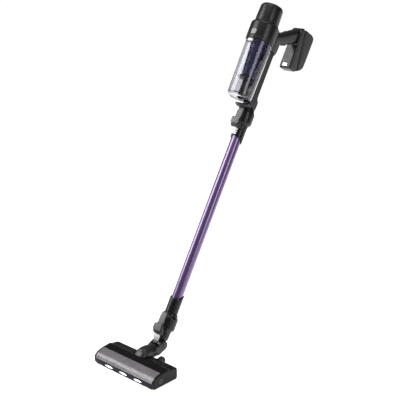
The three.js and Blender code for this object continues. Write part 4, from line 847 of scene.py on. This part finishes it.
def build_swivel():
    low, high = span("swivel_cover", FLOOR)
    radius = high.x
    bore = radius - SHELL_WALL
    front = low.y
    # The dome round the swivel's barrel.
    dome = bare("swivel_dome", [revolve(fillet([
        (10, front), (radius - 7, front + 0.6, 3), (radius - 1.6, front + 5, 4),
        (radius, front + 13, 4), (radius, front + 21), (radius - 0.5, front + 21.4),
        (radius - 0.5, front + 22.4), (radius, front + 22.8), (radius, high.y - 1),
        (radius - 0.8, high.y), (bore, high.y, 0.2), (bore, front + 9, 3),
        (10, front + 4, 0.2),
    ], 0.3, 4), 112, True)], SWIVEL)
    # The nose and the cheeks of the cover, which come down to the deck of the head.
    rows = []
    foot = 36
    for along, wide, tall in ((-15, 17.5, 43.6), (-12.5, 19, 47), (-7, 20.6, 53), (-1, 21.6, 58.2),
        (6, radius, 61.2), (13, radius, 62), (27, radius, 62)):
        rows.append([
            Vector((wide * math.copysign(abs(math.cos(a)) ** 0.8, math.cos(a)), along,
                foot + (tall - foot) * abs(math.sin(a)) ** 0.8))
            for a in [math.pi * k / 40 for k in range(41)]
        ])
    nose = tool(skin(rows), FLOOR)
    boolean(dome, [nose], "UNION")
    cut(dome, prism(circle(bore, 96, 0, ROLL.z), front + 9, 30, 0, "y"), space=FLOOR)
    # Two long lines on each side of the dome.
    lines = []
    for side in (-1, 1):
        for degrees in (38, 62):
            angle = math.radians(degrees)
            x, up = side * math.sin(angle) * radius, math.cos(angle) * radius
            groove = block(x - 0.5, x + 0.5, front + 7, high.y - 8, 0.4,
                ROLL.z + up - 0.9, ROLL.z + up + 4, 0, "z")
            lines.append(groove)
    cut(dome, *lines, space=FLOOR)
    finish_piece(dome, "head", GRAPHITE_DARK, ["swivel_cover"])

    low, high = span("swivel_barrel", FLOOR)
    journal = bore - 0.4
    inner = journal - 2
    ring = ROLL.y
    outer = radius - 1
    end = 60
    barrel = bare("swivel_neck", [revolve(fillet([
        (inner, low.y), (journal, low.y), (journal, ring), (outer - 0.8, ring),
        (outer, ring + 0.8),
        (outer, ring + 9), (outer - 0.5, ring + 9.4), (outer - 0.5, ring + 10.2),
        (outer, ring + 10.6), (outer, end - 3, 2), (outer - 3, end, 1), (inner, end),
    ], 0.2, 4), 112, True)], SWIVEL)
    arms = [
        prism(band((52, 41), 13, (PIVOT.y, PIVOT.z), 13.5),
            *sorted((side * (ELBOW_DRUM_HALF + 0.4), side * (ELBOW_DRUM_HALF + 5))), 1)
        for side in (-1, 1)
    ]
    fuse(barrel, *arms, space=FLOOR)
    room = prism(circle(24, 96, PIVOT.y, PIVOT.z), -ELBOW_DRUM_HALF - 0.4, ELBOW_DRUM_HALF + 0.4, 0)
    tab = span("lower_tab")[1].x
    notch = prism(circle(28.4, 96, PIVOT.y, PIVOT.z), -tab - 0.4, tab + 0.4, 0)
    pin = prism(circle(4.3, 48, PIVOT.y, PIVOT.z), -30, 30, 0)
    cut(barrel, room, notch, pin, space=FLOOR)
    finish_piece(barrel, "neck", CHARCOAL, ["swivel_barrel"])

    for side, level in ((-1, "left"), (1, "right")):
        low, high = span(f"pivot_pin_{level}")
        length = high.x - low.x
        head = 1.5
        profile = [(0, 0), (4, 0), (4, length - head, 0.05), (6.9, length - head, 0.3),
            (6.9, length - 0.5, 0.5), (5.8, length, 0.4), (2.6, length),
            (2.2, length - 0.8), (0, length - 0.8)]
        place = WAND @ Matrix.Translation(((low.x if side > 0 else high.x), 0, 0)) @ Matrix.Rotation(
            side * math.pi / 2, 4, "Y")
        piece(f"neck_pin_{level}", [revolve(fillet(profile, 0.3, 3, False), 64)], "neck", PIN_METAL,
            [f"pivot_pin_{level}"], place)


def build_elbow():
    low, high = span("elbow_stem")
    radius = high.y
    stem_bore = span("wand_tube")[1].x - 3.5
    elbow = bare("elbow_body", [prism(circle(15, 96), -ELBOW_DRUM_HALF, ELBOW_DRUM_HALF, 1.2)])
    stem = revolve(fillet([(0, 3), (ELBOW_DRUM_HALF - 0.8, 3, 0.1), (ELBOW_DRUM_HALF - 0.8, 14, 3),
        (radius, 19, 2), (radius, high.z - 0.8), (radius - 0.8, high.z),
        (0, high.z)], 0.5, 4, False), 96)
    fuse(elbow, stem)
    duct = Matrix.Rotation(math.acos(WAND_UP.z), 4, "X")
    tools = [tool(revolve([(0, -3), (9.5, -3), (9.5, 17), (stem_bore, 17),
        (stem_bore, high.z + 1), (0, high.z + 1)], 64)),
        tool(prism(circle(9, 64), -18, 0, 0, "y"), WAND @ duct)]
    for side in (-1, 1):
        tools.append(tool(prism(circle(4.4, 48), *sorted((side * 10.5, side * 18)), 0)))
    boolean(elbow, tools, "DIFFERENCE")
    finish_piece(elbow, "elbow", CHARCOAL, ["elbow_stem"])


for cap_side, cap_level in ((-1, "left"), (1, "right")):
    build_end_cap(cap_side, cap_level)
    build_wheel(cap_side, cap_level)
build_lock()
build_window()
build_bumper()
build_housing()
build_sole()
build_brush()
build_swivel()
build_elbow()


# ---------- handheld unit ----------

SOCKET_TOP = span("upper_socket")[1].z
HAND = WAND @ Matrix.Translation((0, 0, SOCKET_TOP))
CUP_LOW, CUP_HIGH = span("dust_cup", HAND)
BODY_Y = (CUP_LOW.y + CUP_HIGH.y) / 2
BODY = HAND @ Matrix.Translation((0, BODY_Y, 0))
CUP_BOTTOM, CUP_TOP = CUP_LOW.z, CUP_HIGH.z
CUP_RADIUS = CUP_HIGH.x
CUP_FOOT_RADIUS = CUP_RADIUS - 2.7
CUP_WALL = 2.2
COLLAR_LOW, COLLAR_HIGH = span("body_collar", HAND)
COLLAR_RADIUS = COLLAR_HIGH.x
CAP_RADIUS = span("filter_cap", HAND)[1].x
TUBE_RADIUS = span("wand_tube")[1].x
INLET = (-10.6, 10.6, CUP_TOP - 43.6, CUP_TOP - 15.6)
FOOT_TOP = CUP_BOTTOM - 3
TAB_SPLIT = 0.34
HOOD_LOW, HOOD_HIGH, HOOD_DEGREES = CUP_TOP - 76, CUP_TOP - 9, 62
LINER_DEGREES = 31


def build_spine():
    low, high = span("duct_spine", HAND)
    half = 14
    front, rear = -16, 13
    flare = high.y
    top = high.z
    outline = rounded([
        (front, 3, 0), (front, top, 0), (rear, top, 0), (rear, FOOT_TOP + 32, 9),
        (flare, FOOT_TOP + 22, 7), (flare - 3, 3, 1),
    ], 2)
    spine = bare("spine_shell", [prism(outline, -half, half, 3.2, "x", 3.2, 6)], HAND)
    bowl_low = low.z
    foot_z = -8
    foot_radius = high.x
    foot_y = -32
    bowl = revolve(fillet([
        (0, foot_z), (foot_radius - 8, foot_z, 3), (foot_radius, foot_z + 8, 5),
        (foot_radius, FOOT_TOP - 1.2, 0.6), (foot_radius - 1.2, FOOT_TOP, 0.6), (0, FOOT_TOP),
    ], 1, 6, False), 96, False, y=foot_y)
    foot = bare("foot", [bowl], HAND)
    bridge = block(-half, half, foot_y, rear, 1, 3, FOOT_TOP, 0, "z")
    fuse(foot, bridge, space=HAND)
    pivot = Matrix.Translation((0, -30, FOOT_TOP)) @ Matrix.Rotation(math.radians(21), 4, "X")
    relief = tool(prism([(-60, 0), (0, 0), (0, 30), (-60, 30)], -40, 40, 0), HAND @ pivot)
    socket_room = tool(prism(circle(24.6, 96), foot_z - 1, 0.3, 0, "z"), HAND)
    button_room = tool(block(-10.5, 10.5, -31, 0, 1, foot_z - 1, -2, 0, "z"), HAND)
    boolean(foot, [relief, socket_room, button_room], "DIFFERENCE")
    plug = revolve(fillet([
        (0, bowl_low), (TUBE_RADIUS - 1.2, bowl_low, 0.3), (TUBE_RADIUS, bowl_low + 2, 0.6),
        (TUBE_RADIUS, 0.3, 0), (22, 0.3, 0), (22, 4, 0), (0, 4),
    ], 1, 4, False), 96)
    boolean(spine, [foot, tool(plug, HAND)], "UNION")
    bore = prism(circle(12.5, 64), bowl_low - 1, FOOT_TOP + 20, 0, "z")
    duct = block(front + SHELL_WALL, rear - SHELL_WALL, FOOT_TOP + 8, top - 6, 3, -11.6, 11.6, 0)
    inlet = block(*INLET, 3, front - 1, front + 3.4, 0, "y")
    # Fine lines down both sides.
    lines = []
    for side in (-1, 1):
        for y in (-9, -1.5, 6):
            lines.append(block(y - 0.45, y + 0.45, FOOT_TOP + 14, top + 1, 0.3,
                *sorted((side * (half - 0.7), side * (half + 1))), 0))
    cut(spine, bore, duct, inlet, *lines, space=HAND)
    finish_piece(spine, "handheld", BLACK, ["duct_spine"])


def build_cup():
    base = CUP_BOTTOM
    outside = [
        (0, base + 1.2), (CUP_FOOT_RADIUS - 14, base + 1.2, 3), (CUP_FOOT_RADIUS - 11, base, 1),
        (CUP_FOOT_RADIUS - 5, base, 4), (CUP_FOOT_RADIUS, base + 6, 4), (CUP_RADIUS, CUP_TOP, 0.3),
    ]
    inside = [
        (CUP_RADIUS - CUP_WALL, CUP_TOP, 0.3), (CUP_FOOT_RADIUS - CUP_WALL, base + 7.4, 4),
        (CUP_FOOT_RADIUS - CUP_WALL - 4, base + 2.4, 3), (0, base + 3.2),
    ]
    cup = bare("cup_shell", [revolve(fillet(outside + inside, 1, 5, False), 144)], BODY)
    inlet = block(*INLET, 3, CUP_RADIUS - 12, CUP_RADIUS + 2, 0, "y")
    cut(cup, inlet, space=BODY)
    finish_piece(cup, "cup", CLEAR, ["dust_cup"])
    ring = CUP_FOOT_RADIUS - CUP_WALL - 0.3
    seal = [(ring - 2.6, base + 8.2), (ring - 0.4, base + 8.2), (ring, base + 10.4),
        (ring - 2.6, base + 10.4)]
    piece("flap_seal", [turned(seal, 0.4, 96, True)], "cup", RUBBER, [], BODY)
    low, high = span("cup_tab", HAND)
    split = lerp(low.z, high.z, TAB_SPLIT)
    tab = bare("cup_release_tab", [block(low.x, high.x, split, high.z, 2.4, low.y, high.y, 0.3,
        "y", 1.2)], HAND)
    piece("cup_release_lip", [block(low.x + 0.6, high.x - 0.6, split - 2.2, split - 0.3,
        0.8, low.y + 0.4, high.y, 0.2, "y", 0.6)],
        "cup_release", CHARCOAL_INNER, [], HAND)
    grip = block(low.x + 3, high.x - 3, split + 2.4, split + 3.4, 0.5, low.y - 1, low.y + 0.5, 0, "y")
    cut(tab, grip, space=HAND)
    finish_piece(tab, "cup_release", WHITE, ["cup_tab"])


def ring_sector(outer, inner, degrees, steps):
    """A part of a ring, as far as some degrees to both sides of the rear."""
    turns = [math.radians(lerp(-degrees, degrees, k / steps)) for k in range(steps + 1)]
    return [
        (radius * math.sin(angle), radius * math.cos(angle))
        for radius, angles in ((outer, turns), (inner, turns[::-1]))
        for angle in angles
    ]


def build_cyclone():
    low, high = span("cyclone_shroud", BODY)
    flange = high.x
    base, top = low.z, high.z
    flange_low = top - 6
    r0, r1 = 15, 23
    column = [
        (r0 - 2, base), (r0, base), (r0 + 0.6, base + 1), (r1 - 0.2, flange_low - 2, 0),
        (r1 + 2, flange_low, 1), (flange - 0.5, flange_low), (flange, flange_low + 0.5),
        (flange, top - 2.2), (flange - 1.2, top - 2), (flange - 1.2, top - 0.5),
        (flange - 1.6, top), (r1 - 2, top),
    ]
    shroud = bare("shroud_body", [revolve(fillet(column, 0.3, 4), 120, True)], BODY)
    ribs = []
    count = 32
    for i in range(count):
        section = [(r0 - 1, base + 2), (r0 + 1.5, base + 2), (r1 + 1.5, flange_low + 0.5),
            (r1 - 1, flange_low + 0.5)]
        turn = Matrix.Rotation(2 * math.pi * i / count, 4, "Z")
        ribs.append(moved(prism(section, -0.55, 0.55, 0), turn))
    fuse(shroud, *ribs, space=BODY)
    finish_piece(shroud, "cup", PURPLE, ["cyclone_shroud"])
    # The hood that turns the air round the cup, against the rear wall beside the inlet.
    hood_radius = CUP_RADIUS - CUP_WALL - 2.2
    sector = ring_sector(hood_radius, hood_radius - 2, HOOD_DEGREES, 24)
    hood = bare("inlet_hood", [prism(sector, HOOD_LOW, HOOD_HIGH, 0, "z")], BODY)
    mouth = block(*INLET, 3, 20, CUP_RADIUS, 0, "y")
    cut(hood, mouth, space=BODY)
    finish_piece(hood, "cup", HOOD, [])
    # A grey liner below the hood, which hides the duct behind the cup.
    liner_radius = CUP_FOOT_RADIUS - CUP_WALL
    liner = ring_sector(liner_radius - 1, liner_radius - 2.6, LINER_DEGREES, 16)
    piece("cup_liner", [prism(liner, CUP_BOTTOM + 11.5, HOOD_LOW - 1, 0, "z")], "cup", LINER,
        [], BODY)
    low, high = span("cyclone_skirt", BODY)
    bottom, top = low.z, high.z
    wide = high.x
    stem = 6.5
    skirt = [
        (0, bottom), (stem + 2, bottom), (stem, bottom + 8, 3), (stem, top - 15, 2),
        (stem + 6, top - 13.6, 1), (wide - 0.5, top - 12), (wide, top - 11.5),
        (wide, top - 9.6), (wide - 1, top - 9), (r0 + 3, top - 4, 3), (r0, top), (0, top),
    ]
    piece("skirt_body", [revolve(fillet(skirt, 0.4, 4, False), 96)], "cup", CHARCOAL_INNER,
        ["cyclone_skirt"], BODY)


def build_collar():
    low, high = COLLAR_LOW.z, COLLAR_HIGH.z
    radius = COLLAR_RADIUS
    inner = radius - SHELL_WALL
    shoulder = CAP_RADIUS + 1
    profile = [
        (inner, low), (radius - 0.8, low), (radius, low + 0.8), (radius, low + 7.2),
        (radius - 0.6, low + 7.8), (radius - 0.6, low + 8.8), (radius, low + 9.4),
        (radius, high - 7, 2), (radius - 1.6, high - 4.4, 1), (shoulder + 1.4, high - 0.5),
        (shoulder, high), (shoulder - 5.4, high), (shoulder - 5.4, high - 3), (inner, high - 7),
    ]
    collar = bare("collar_shell", [revolve(fillet(profile, 0.3, 4), 144, True)], BODY)
    # A blank badge in a shallow rounded pocket on the front.
    front = -radius
    pocket = prism(rounded_box(-10, 10, low + 11, low + 29.4, 7, 10), front - 3, front + 1.7, 0, "y")
    cut(collar, pocket, space=BODY)
    finish_piece(collar, "handheld", CHARCOAL, ["body_collar"])
    badge = bare("badge", [prism(rounded_box(-9.4, 9.4, low + 11.6, low + 28.8, 6.6, 10),
        front - 3, front + 3.4, 0, "y")], BODY)
    band_low = revolve([(inner + 0.2, low + 10), (radius - 0.25, low + 10),
        (radius - 0.25, low + 31), (inner + 0.2, low + 31)], 192, True)
    boolean(badge, [tool(band_low, BODY)], "INTERSECT")
    finish_piece(badge, "handheld", BADGE, [])


def build_cap():
    low, high = span("filter_cap", BODY)
    base, top = low.z, high.z
    r0 = high.x
    r1 = r0 - 1.6
    wall = SHELL_WALL
    profile = [
        (r0 - wall, base), (r0, base), (lerp(r0, r1, 0.12), base + 5), (lerp(r0, r1, 0.12) - 0.6, base + 5.6),
        (lerp(r0, r1, 0.14) - 0.6, base + 6.8), (lerp(r0, r1, 0.14), base + 7.4), (r1, top - 6, 5),
        (r1 - 5.5, top - 0.2, 3), (12, top, 0.5), (11, top - 1, 0.5),
        (0, top - 1), (0, top - wall), (r1 - 5, top - wall, 2), (r1 - wall, top - 6, 2),
    ]
    cap = bare("cap_shell", [revolve(fillet(profile, 0.3, 5), 144, True)], BODY)
    slots = []
    count = 8
    for i in range(count):
        turn = Matrix.Rotation(2 * math.pi * i / count, 4, "Z")
        slots.append(moved(block(13.5, 27, -1.6, 1.6, 1.5, top - 6, top + 1, 0, "z"), turn))
    cut(cap, *slots, space=BODY)
    finish_piece(cap, "cap", CHARCOAL, ["filter_cap"])


# The grip group: heights above the bottom of the collar.
GRIP = HAND @ Matrix.Translation((0, 0, COLLAR_LOW.z))


POD_SQUEEZE = 0.48
POD = [(0, -26), (12, -20), (23, -10), (31, 2), (34, 18), (34, 36), (30, 52), (22, 64), (10, 74), (0, 78)]
ARM_LOW, ARM_END = Vector((34, 38.5)), Vector((99, 72))
ARM_TOP, ARM_TOP_END = Vector((21, 74)), Vector((90, 123))
SEAM_TOP, SEAM_LOW = Vector((110.7, 119)), Vector((136.9, 3))
LEG_FRONT = 97


def smooth_curve(points, steps=6):
    """A soft curve through points, both ends included."""
    made = []
    count = len(points)
    for i in range(count - 1):
        p0, p1 = points[max(i - 1, 0)], points[i]
        p2, p3 = points[i + 1], points[min(i + 2, count - 1)]
        for k in range(steps):
            t = k / steps
            made.append(tuple(
                0.5 * (2 * b + (c - a) * t + (2 * a - 5 * b + 4 * c - d) * t ** 2
                    + (3 * b - a - 3 * c + d) * t ** 3)
                for a, b, c, d in zip(p0, p1, p2, p3)
            ))
    made.append(points[-1][:2])
    return made


def pod_shape(wall=0.0):
    low, high = POD[0][1], POD[-1][1]
    middle = (low + high) / 2
    stretch = 1 - 2 * wall / (high - low)
    curve = smooth_curve(POD, 5)
    inner = [(max(r - wall / POD_SQUEEZE, 0), middle + (z - middle) * stretch) for r, z in curve]
    kept = [inner[0]] + [p for p in inner[1:-1] if p[0] > 1e-3] + [inner[-1]]
    kept[0], kept[-1] = (0, kept[0][1]), (0, kept[-1][1])
    return revolve(kept, 96, False, POD_SQUEEZE, -2)


def arm_loft(half, wall=0.0, power=3.0, start=-0.1, end=1.02, steps=14):
    """The arm as a loft of rounded sections between its lower and its upper line."""
    loops = []
    for k in range(steps + 1):
        t = lerp(start, end, k / steps)
        lower, upper = ARM_LOW.lerp(ARM_END, t), ARM_TOP.lerp(ARM_TOP_END, t)
        middle, reach = (lower + upper) / 2, (upper - lower) / 2
        size = reach.length - wall
        way = reach.normalized()
        loops.append([
            Vector((a, middle.x + way.x * b, middle.y + way.y * b)) for a,
            b in superellipse(half - wall, size, power, 56)
        ])
    return skin(loops)


def build_handle():
    leg_outline = rounded([
        (LEG_FRONT, -5, 4), (LEG_FRONT + 5, -10.5, 4), (131.5, -8.5, 4),
        (*SEAM_LOW, 1), (*SEAM_TOP, 1), (106, 130, 5), (99, 130, 5),
        (LEG_FRONT - 4, 122, 4), (LEG_FRONT - 4, 74, 2), (LEG_FRONT, 70, 2),
    ], 2, 6)
    half = span("handle_shell_right", GRIP)[1].x
    body = bare("handle_body", [prism(leg_outline, -half, half, 5, "x", 5, 8)], GRIP)
    fuse(body, pod_shape(), arm_loft(15, start=-0.42), space=GRIP)
    wall = SHELL_WALL
    leg_inside = leg_outline(wall)
    hollow = tool(prism(leg_inside, -half + wall, half - wall, 2, "x", 2), GRIP)
    fuse(hollow, arm_loft(15, wall, end=1.0), space=GRIP)
    pod_room = tool(pod_shape(wall), GRIP)
    boolean(pod_room, [tool(block(-40, 40, -40, 60, 0.1, wall, 200, 0, "z"), GRIP)], "INTERSECT")
    collar_room = tool(prism(circle(COLLAR_RADIUS + 0.3, 144, 0, BODY_Y), -30, 123, 0, "z"), GRIP)
    spine_room = tool(prism([(-80, -60), (13.4, -60), (13.4, -0.6), (-80, -0.6)], -40, 40, 0), GRIP)
    latch_low, latch_high = span("battery_latch", GRIP)
    latch_half = 9.4
    latch_room = tool(block(-latch_half, latch_half, latch_low.z - 0.4, latch_low.z + 10.4,
        1.6, LEG_FRONT - 4, LEG_FRONT + 3.4, 0, "y"), GRIP)
    boolean(body, [hollow, pod_room, collar_room, spine_room, latch_room], "DIFFERENCE")
    rise = math.atan2(ARM_TOP_END.y - ARM_TOP.y, ARM_TOP_END.x - ARM_TOP.x)
    top_space = GRIP @ Matrix.Translation((0, *ARM_TOP)) @ Matrix.Rotation(rise, 4, "X")
    low_rise = math.atan2(ARM_END.y - ARM_LOW.y, ARM_END.x - ARM_LOW.x)
    under_space = GRIP @ Matrix.Translation((0, *ARM_LOW)) @ Matrix.Rotation(low_rise, 4, "X")
    boolean(body, [
        tool(prism(circle(6.4, 48, 0, 24), -6, 3, 0, "z"), top_space),
        tool(block(-5.4, 5.4, 11.6, 30.4, 2.4, -4, 5, 0, "z"), under_space),
    ], "DIFFERENCE")
    for side, level in ((-1, "left"), (1, "right")):
        shell = bare(f"handle_{level}", [])
        shell.data = body.data.copy()
        far = 300
        gap = 0.15
        keep = prism([(-far, -far), (far, -far), (far, far), (-far, far)], *sorted((side * gap, side * far)),
            0)
        boolean(shell, [tool(keep, GRIP)], "INTERSECT")
        finish_piece(shell, "handheld", CHARCOAL, [f"handle_shell_{level}"])
    bpy.data.objects.remove(body)

    face = prism(circle(6, 48, 0, 24), -4.4, 1.5, 1, "z", 0.2)
    key = bare("mode_key_cap", [face], top_space)
    cut(key, prism(circle(3.4, 32, 0, 24), 1.1, 4, 0, "z"), space=top_space)
    finish_piece(key, "mode_key", GRAPHITE, ["mode_button"])
    lever = block(-5, 5, 12, 30, 2.4, -3, 5, 0.2, "z", 1.4)
    pull = bare("trigger_lever_cap", [lever], under_space)
    finish_piece(pull, "trigger_lever", GRAPHITE, ["trigger"])

    latch = bare("latch_plate", [block(-9, 9, latch_low.z, latch_low.z + 10, 1.4,
        latch_low.y, latch_high.y, 0.2, "y", 1.2)], GRIP)
    ribs = [block(-7, 7, latch_low.z + (2.4 + 2.4 * k), latch_low.z + (3.2 + 2.4 * k),
        0.3, latch_low.y - 1, latch_low.y + 0.4, 0, "y") for k in range(3)]
    cut(latch, *ribs, space=GRIP)
    finish_piece(latch, "latch", LATCH_METAL, ["battery_latch"])


def build_battery():
    low, high = span("battery_case", GRIP)
    half = high.x
    outline = rounded([
        (SEAM_LOW.x + 0.4, SEAM_LOW.y, 0.6), (134.8, -4, 2), (150, 3, 6),
        (165, 17, 8), (167, 39, 6), (167, 121, 4), (163, 127, 4), (150, 131, 5), (113, 130, 3),
        (SEAM_TOP.x + 0.4, SEAM_TOP.y, 0.6),
    ], 2, 6)
    case = bare("battery_shell", [prism(outline, -half, half, 5, "x", 5, 8)], GRIP)
    wall = SHELL_WALL
    inside = prism(outline(wall), -half + wall, half - wall, 1, "x", 1)
    slot = block(-9, 9, 110.7, 124.7, 0.5, 100, 110, 0, "z")
    # A line round the pack, where its lid meets its tray.
    line = block(-half - 1, half + 1, 153, 153.7, 0, low.z - 1, high.z + 1, 0, "z")
    skin_tool = tool(line, GRIP)
    core = tool(prism(lambda step: outline(step + 0.6), -half + 0.6, half - 0.6, 4.4, "x", 4.4, 8), GRIP)
    boolean(skin_tool, [core], "DIFFERENCE")
    boolean(case, [tool(inside, GRIP), tool(slot, GRIP), skin_tool], "DIFFERENCE")
    finish_piece(case, "battery", CHARCOAL, ["battery_case"])


build_spine()
build_cup()
build_cyclone()
build_collar()
build_cap()
build_handle()
build_battery()

# ---------- inner parts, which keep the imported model's own shapes ----------

INNER = {
    "cup_seal": RUBBER, "drive_belt": RUBBER, "pre_filter": FOAM, "exhaust_filter": FOAM, "motor_can": STEEL,
    "brush_motor": STEEL, "fan_rotor": STEEL, "trigger_spring": STEEL, "upper_spring": STEEL,
    "lower_spring": STEEL,
    "wheel_axle_left": PIN_METAL, "wheel_axle_right": PIN_METAL, "control_board": BOARD, "light_board": BOARD,
    "battery_cells": WRAP, "brush_core": CHARCOAL_INNER, "brush_pulley": CHARCOAL_INNER,
    "motor_pulley": CHARCOAL_INNER,
}
for node_name, look in INNER.items():
    obj = NODES[node_name]
    for place in obj.material_slots:
        place.material = look

# ---------- studio: a pale floor, a soft sky and three softboxes ----------

CAMERA_AZIMUTH, CAMERA_RISE = 42.6, 17.6
CAMERA_DISTANCE, CAMERA_LENS = 2.640, 79.2
CAMERA_TARGET = Vector((0, 0.2545, 0.460))
# The floor gives off light behind the object and much less in front of it.
# The direction is the camera's in plan.
GLOW_DIRECTION = (-0.677, 0.736, 0)
GLOW_NEAR, GLOW_FAR, GLOW_START, GLOW_END = 0.06, 0.79, -0.85, -0.22


def build_floor():
    material, tree, shader, where = new_material("studio_floor")
    paper = noise(tree, where, 3, 4)
    tree.links.new(ramp(tree, paper, [(0.3, grey(0.93)), (0.7, grey(0.95))]), shader.inputs["Base Color"])
    tree.links.new(ramp(tree, paper, [(0.3, grey(0.98)), (0.7, grey(1.0))]), shader.inputs["Emission Color"])
    reach = tree.nodes.new("ShaderNodeVectorMath")
    reach.operation = "DOT_PRODUCT"
    reach.inputs[1].default_value = GLOW_DIRECTION
    tree.links.new(where, reach.inputs[0])
    glow = spread(tree, reach.outputs["Value"], GLOW_NEAR, GLOW_FAR, GLOW_START, GLOW_END)
    tree.links.new(glow, shader.inputs["Emission Strength"])
    shader.inputs["Roughness"].default_value = 0.9
    shader.inputs["Specular IOR Level"].default_value = 0.0
    shape = revolve([(0, 0), (1000, 0), (6000, 0), (60000, 0)], 64)
    floor = bare("floor", [shape], FLOOR)
    floor.data.materials.append(material)


def build_sky(horizon, zenith):
    world = bpy.data.worlds.new("studio_sky")
    bpy.context.scene.world = world
    world.use_nodes = True
    tree = world.node_tree
    background = tree.nodes["Background"]
    background.inputs["Color"].default_value = (1, 1, 1, 1)
    direction = tree.nodes.new("ShaderNodeTexCoord").outputs["Generated"]
    split = tree.nodes.new("ShaderNodeSeparateXYZ")
    tree.links.new(direction, split.inputs["Vector"])
    rise = tree.nodes.new("ShaderNodeMapRange")
    rise.inputs["From Min"].default_value = 0.0
    rise.inputs["From Max"].default_value = 1.0
    rise.inputs["To Min"].default_value = horizon
    rise.inputs["To Max"].default_value = zenith
    tree.links.new(split.outputs["Z"], rise.inputs["Value"])
    tree.links.new(rise.outputs["Result"], background.inputs["Strength"])


def softbox(name, place, aim, wide, high, power):
    data = bpy.data.lights.new(name, "AREA")
    data.shape = "RECTANGLE"
    data.size, data.size_y = wide, high
    data.energy = power
    light = bpy.data.objects.new(name, data)
    light.location = place
    light.rotation_euler = (Vector(aim) - Vector(place)).to_track_quat("-Z", "Y").to_euler()
    bpy.context.scene.collection.objects.link(light)


def build_camera():
    azimuth, rise = math.radians(CAMERA_AZIMUTH), math.radians(CAMERA_RISE)
    away = Vector((math.sin(azimuth) * math.cos(rise), -math.cos(azimuth) * math.cos(rise), math.sin(rise)))
    data = bpy.data.cameras.new("camera")
    data.lens = CAMERA_LENS
    data.sensor_width = 36
    camera = bpy.data.objects.new("camera", data)
    camera.location = CAMERA_TARGET + away * CAMERA_DISTANCE
    camera.rotation_euler = (-away).to_track_quat("-Z", "Y").to_euler()
    bpy.context.scene.collection.objects.link(camera)
    bpy.context.scene.camera = camera


build_floor()
build_sky(0.04, 0.36)
softbox("softbox_left", (-1.95, -1.35, 2.1), (0, 0.4, 0.7), 1.9, 2.4, 72)
softbox("softbox_right", (2.55, -0.1, 1.5), (0, 0.4, 0.6), 0.85, 2.2, 17)
softbox("softbox_top", (0.2, 0.2, 2.9), (0, 0.2, 0.4), 1.6, 1.6, 14)
build_camera()
bpy.context.scene.view_settings.view_transform = "Standard"

bpy.context.view_layer.update()
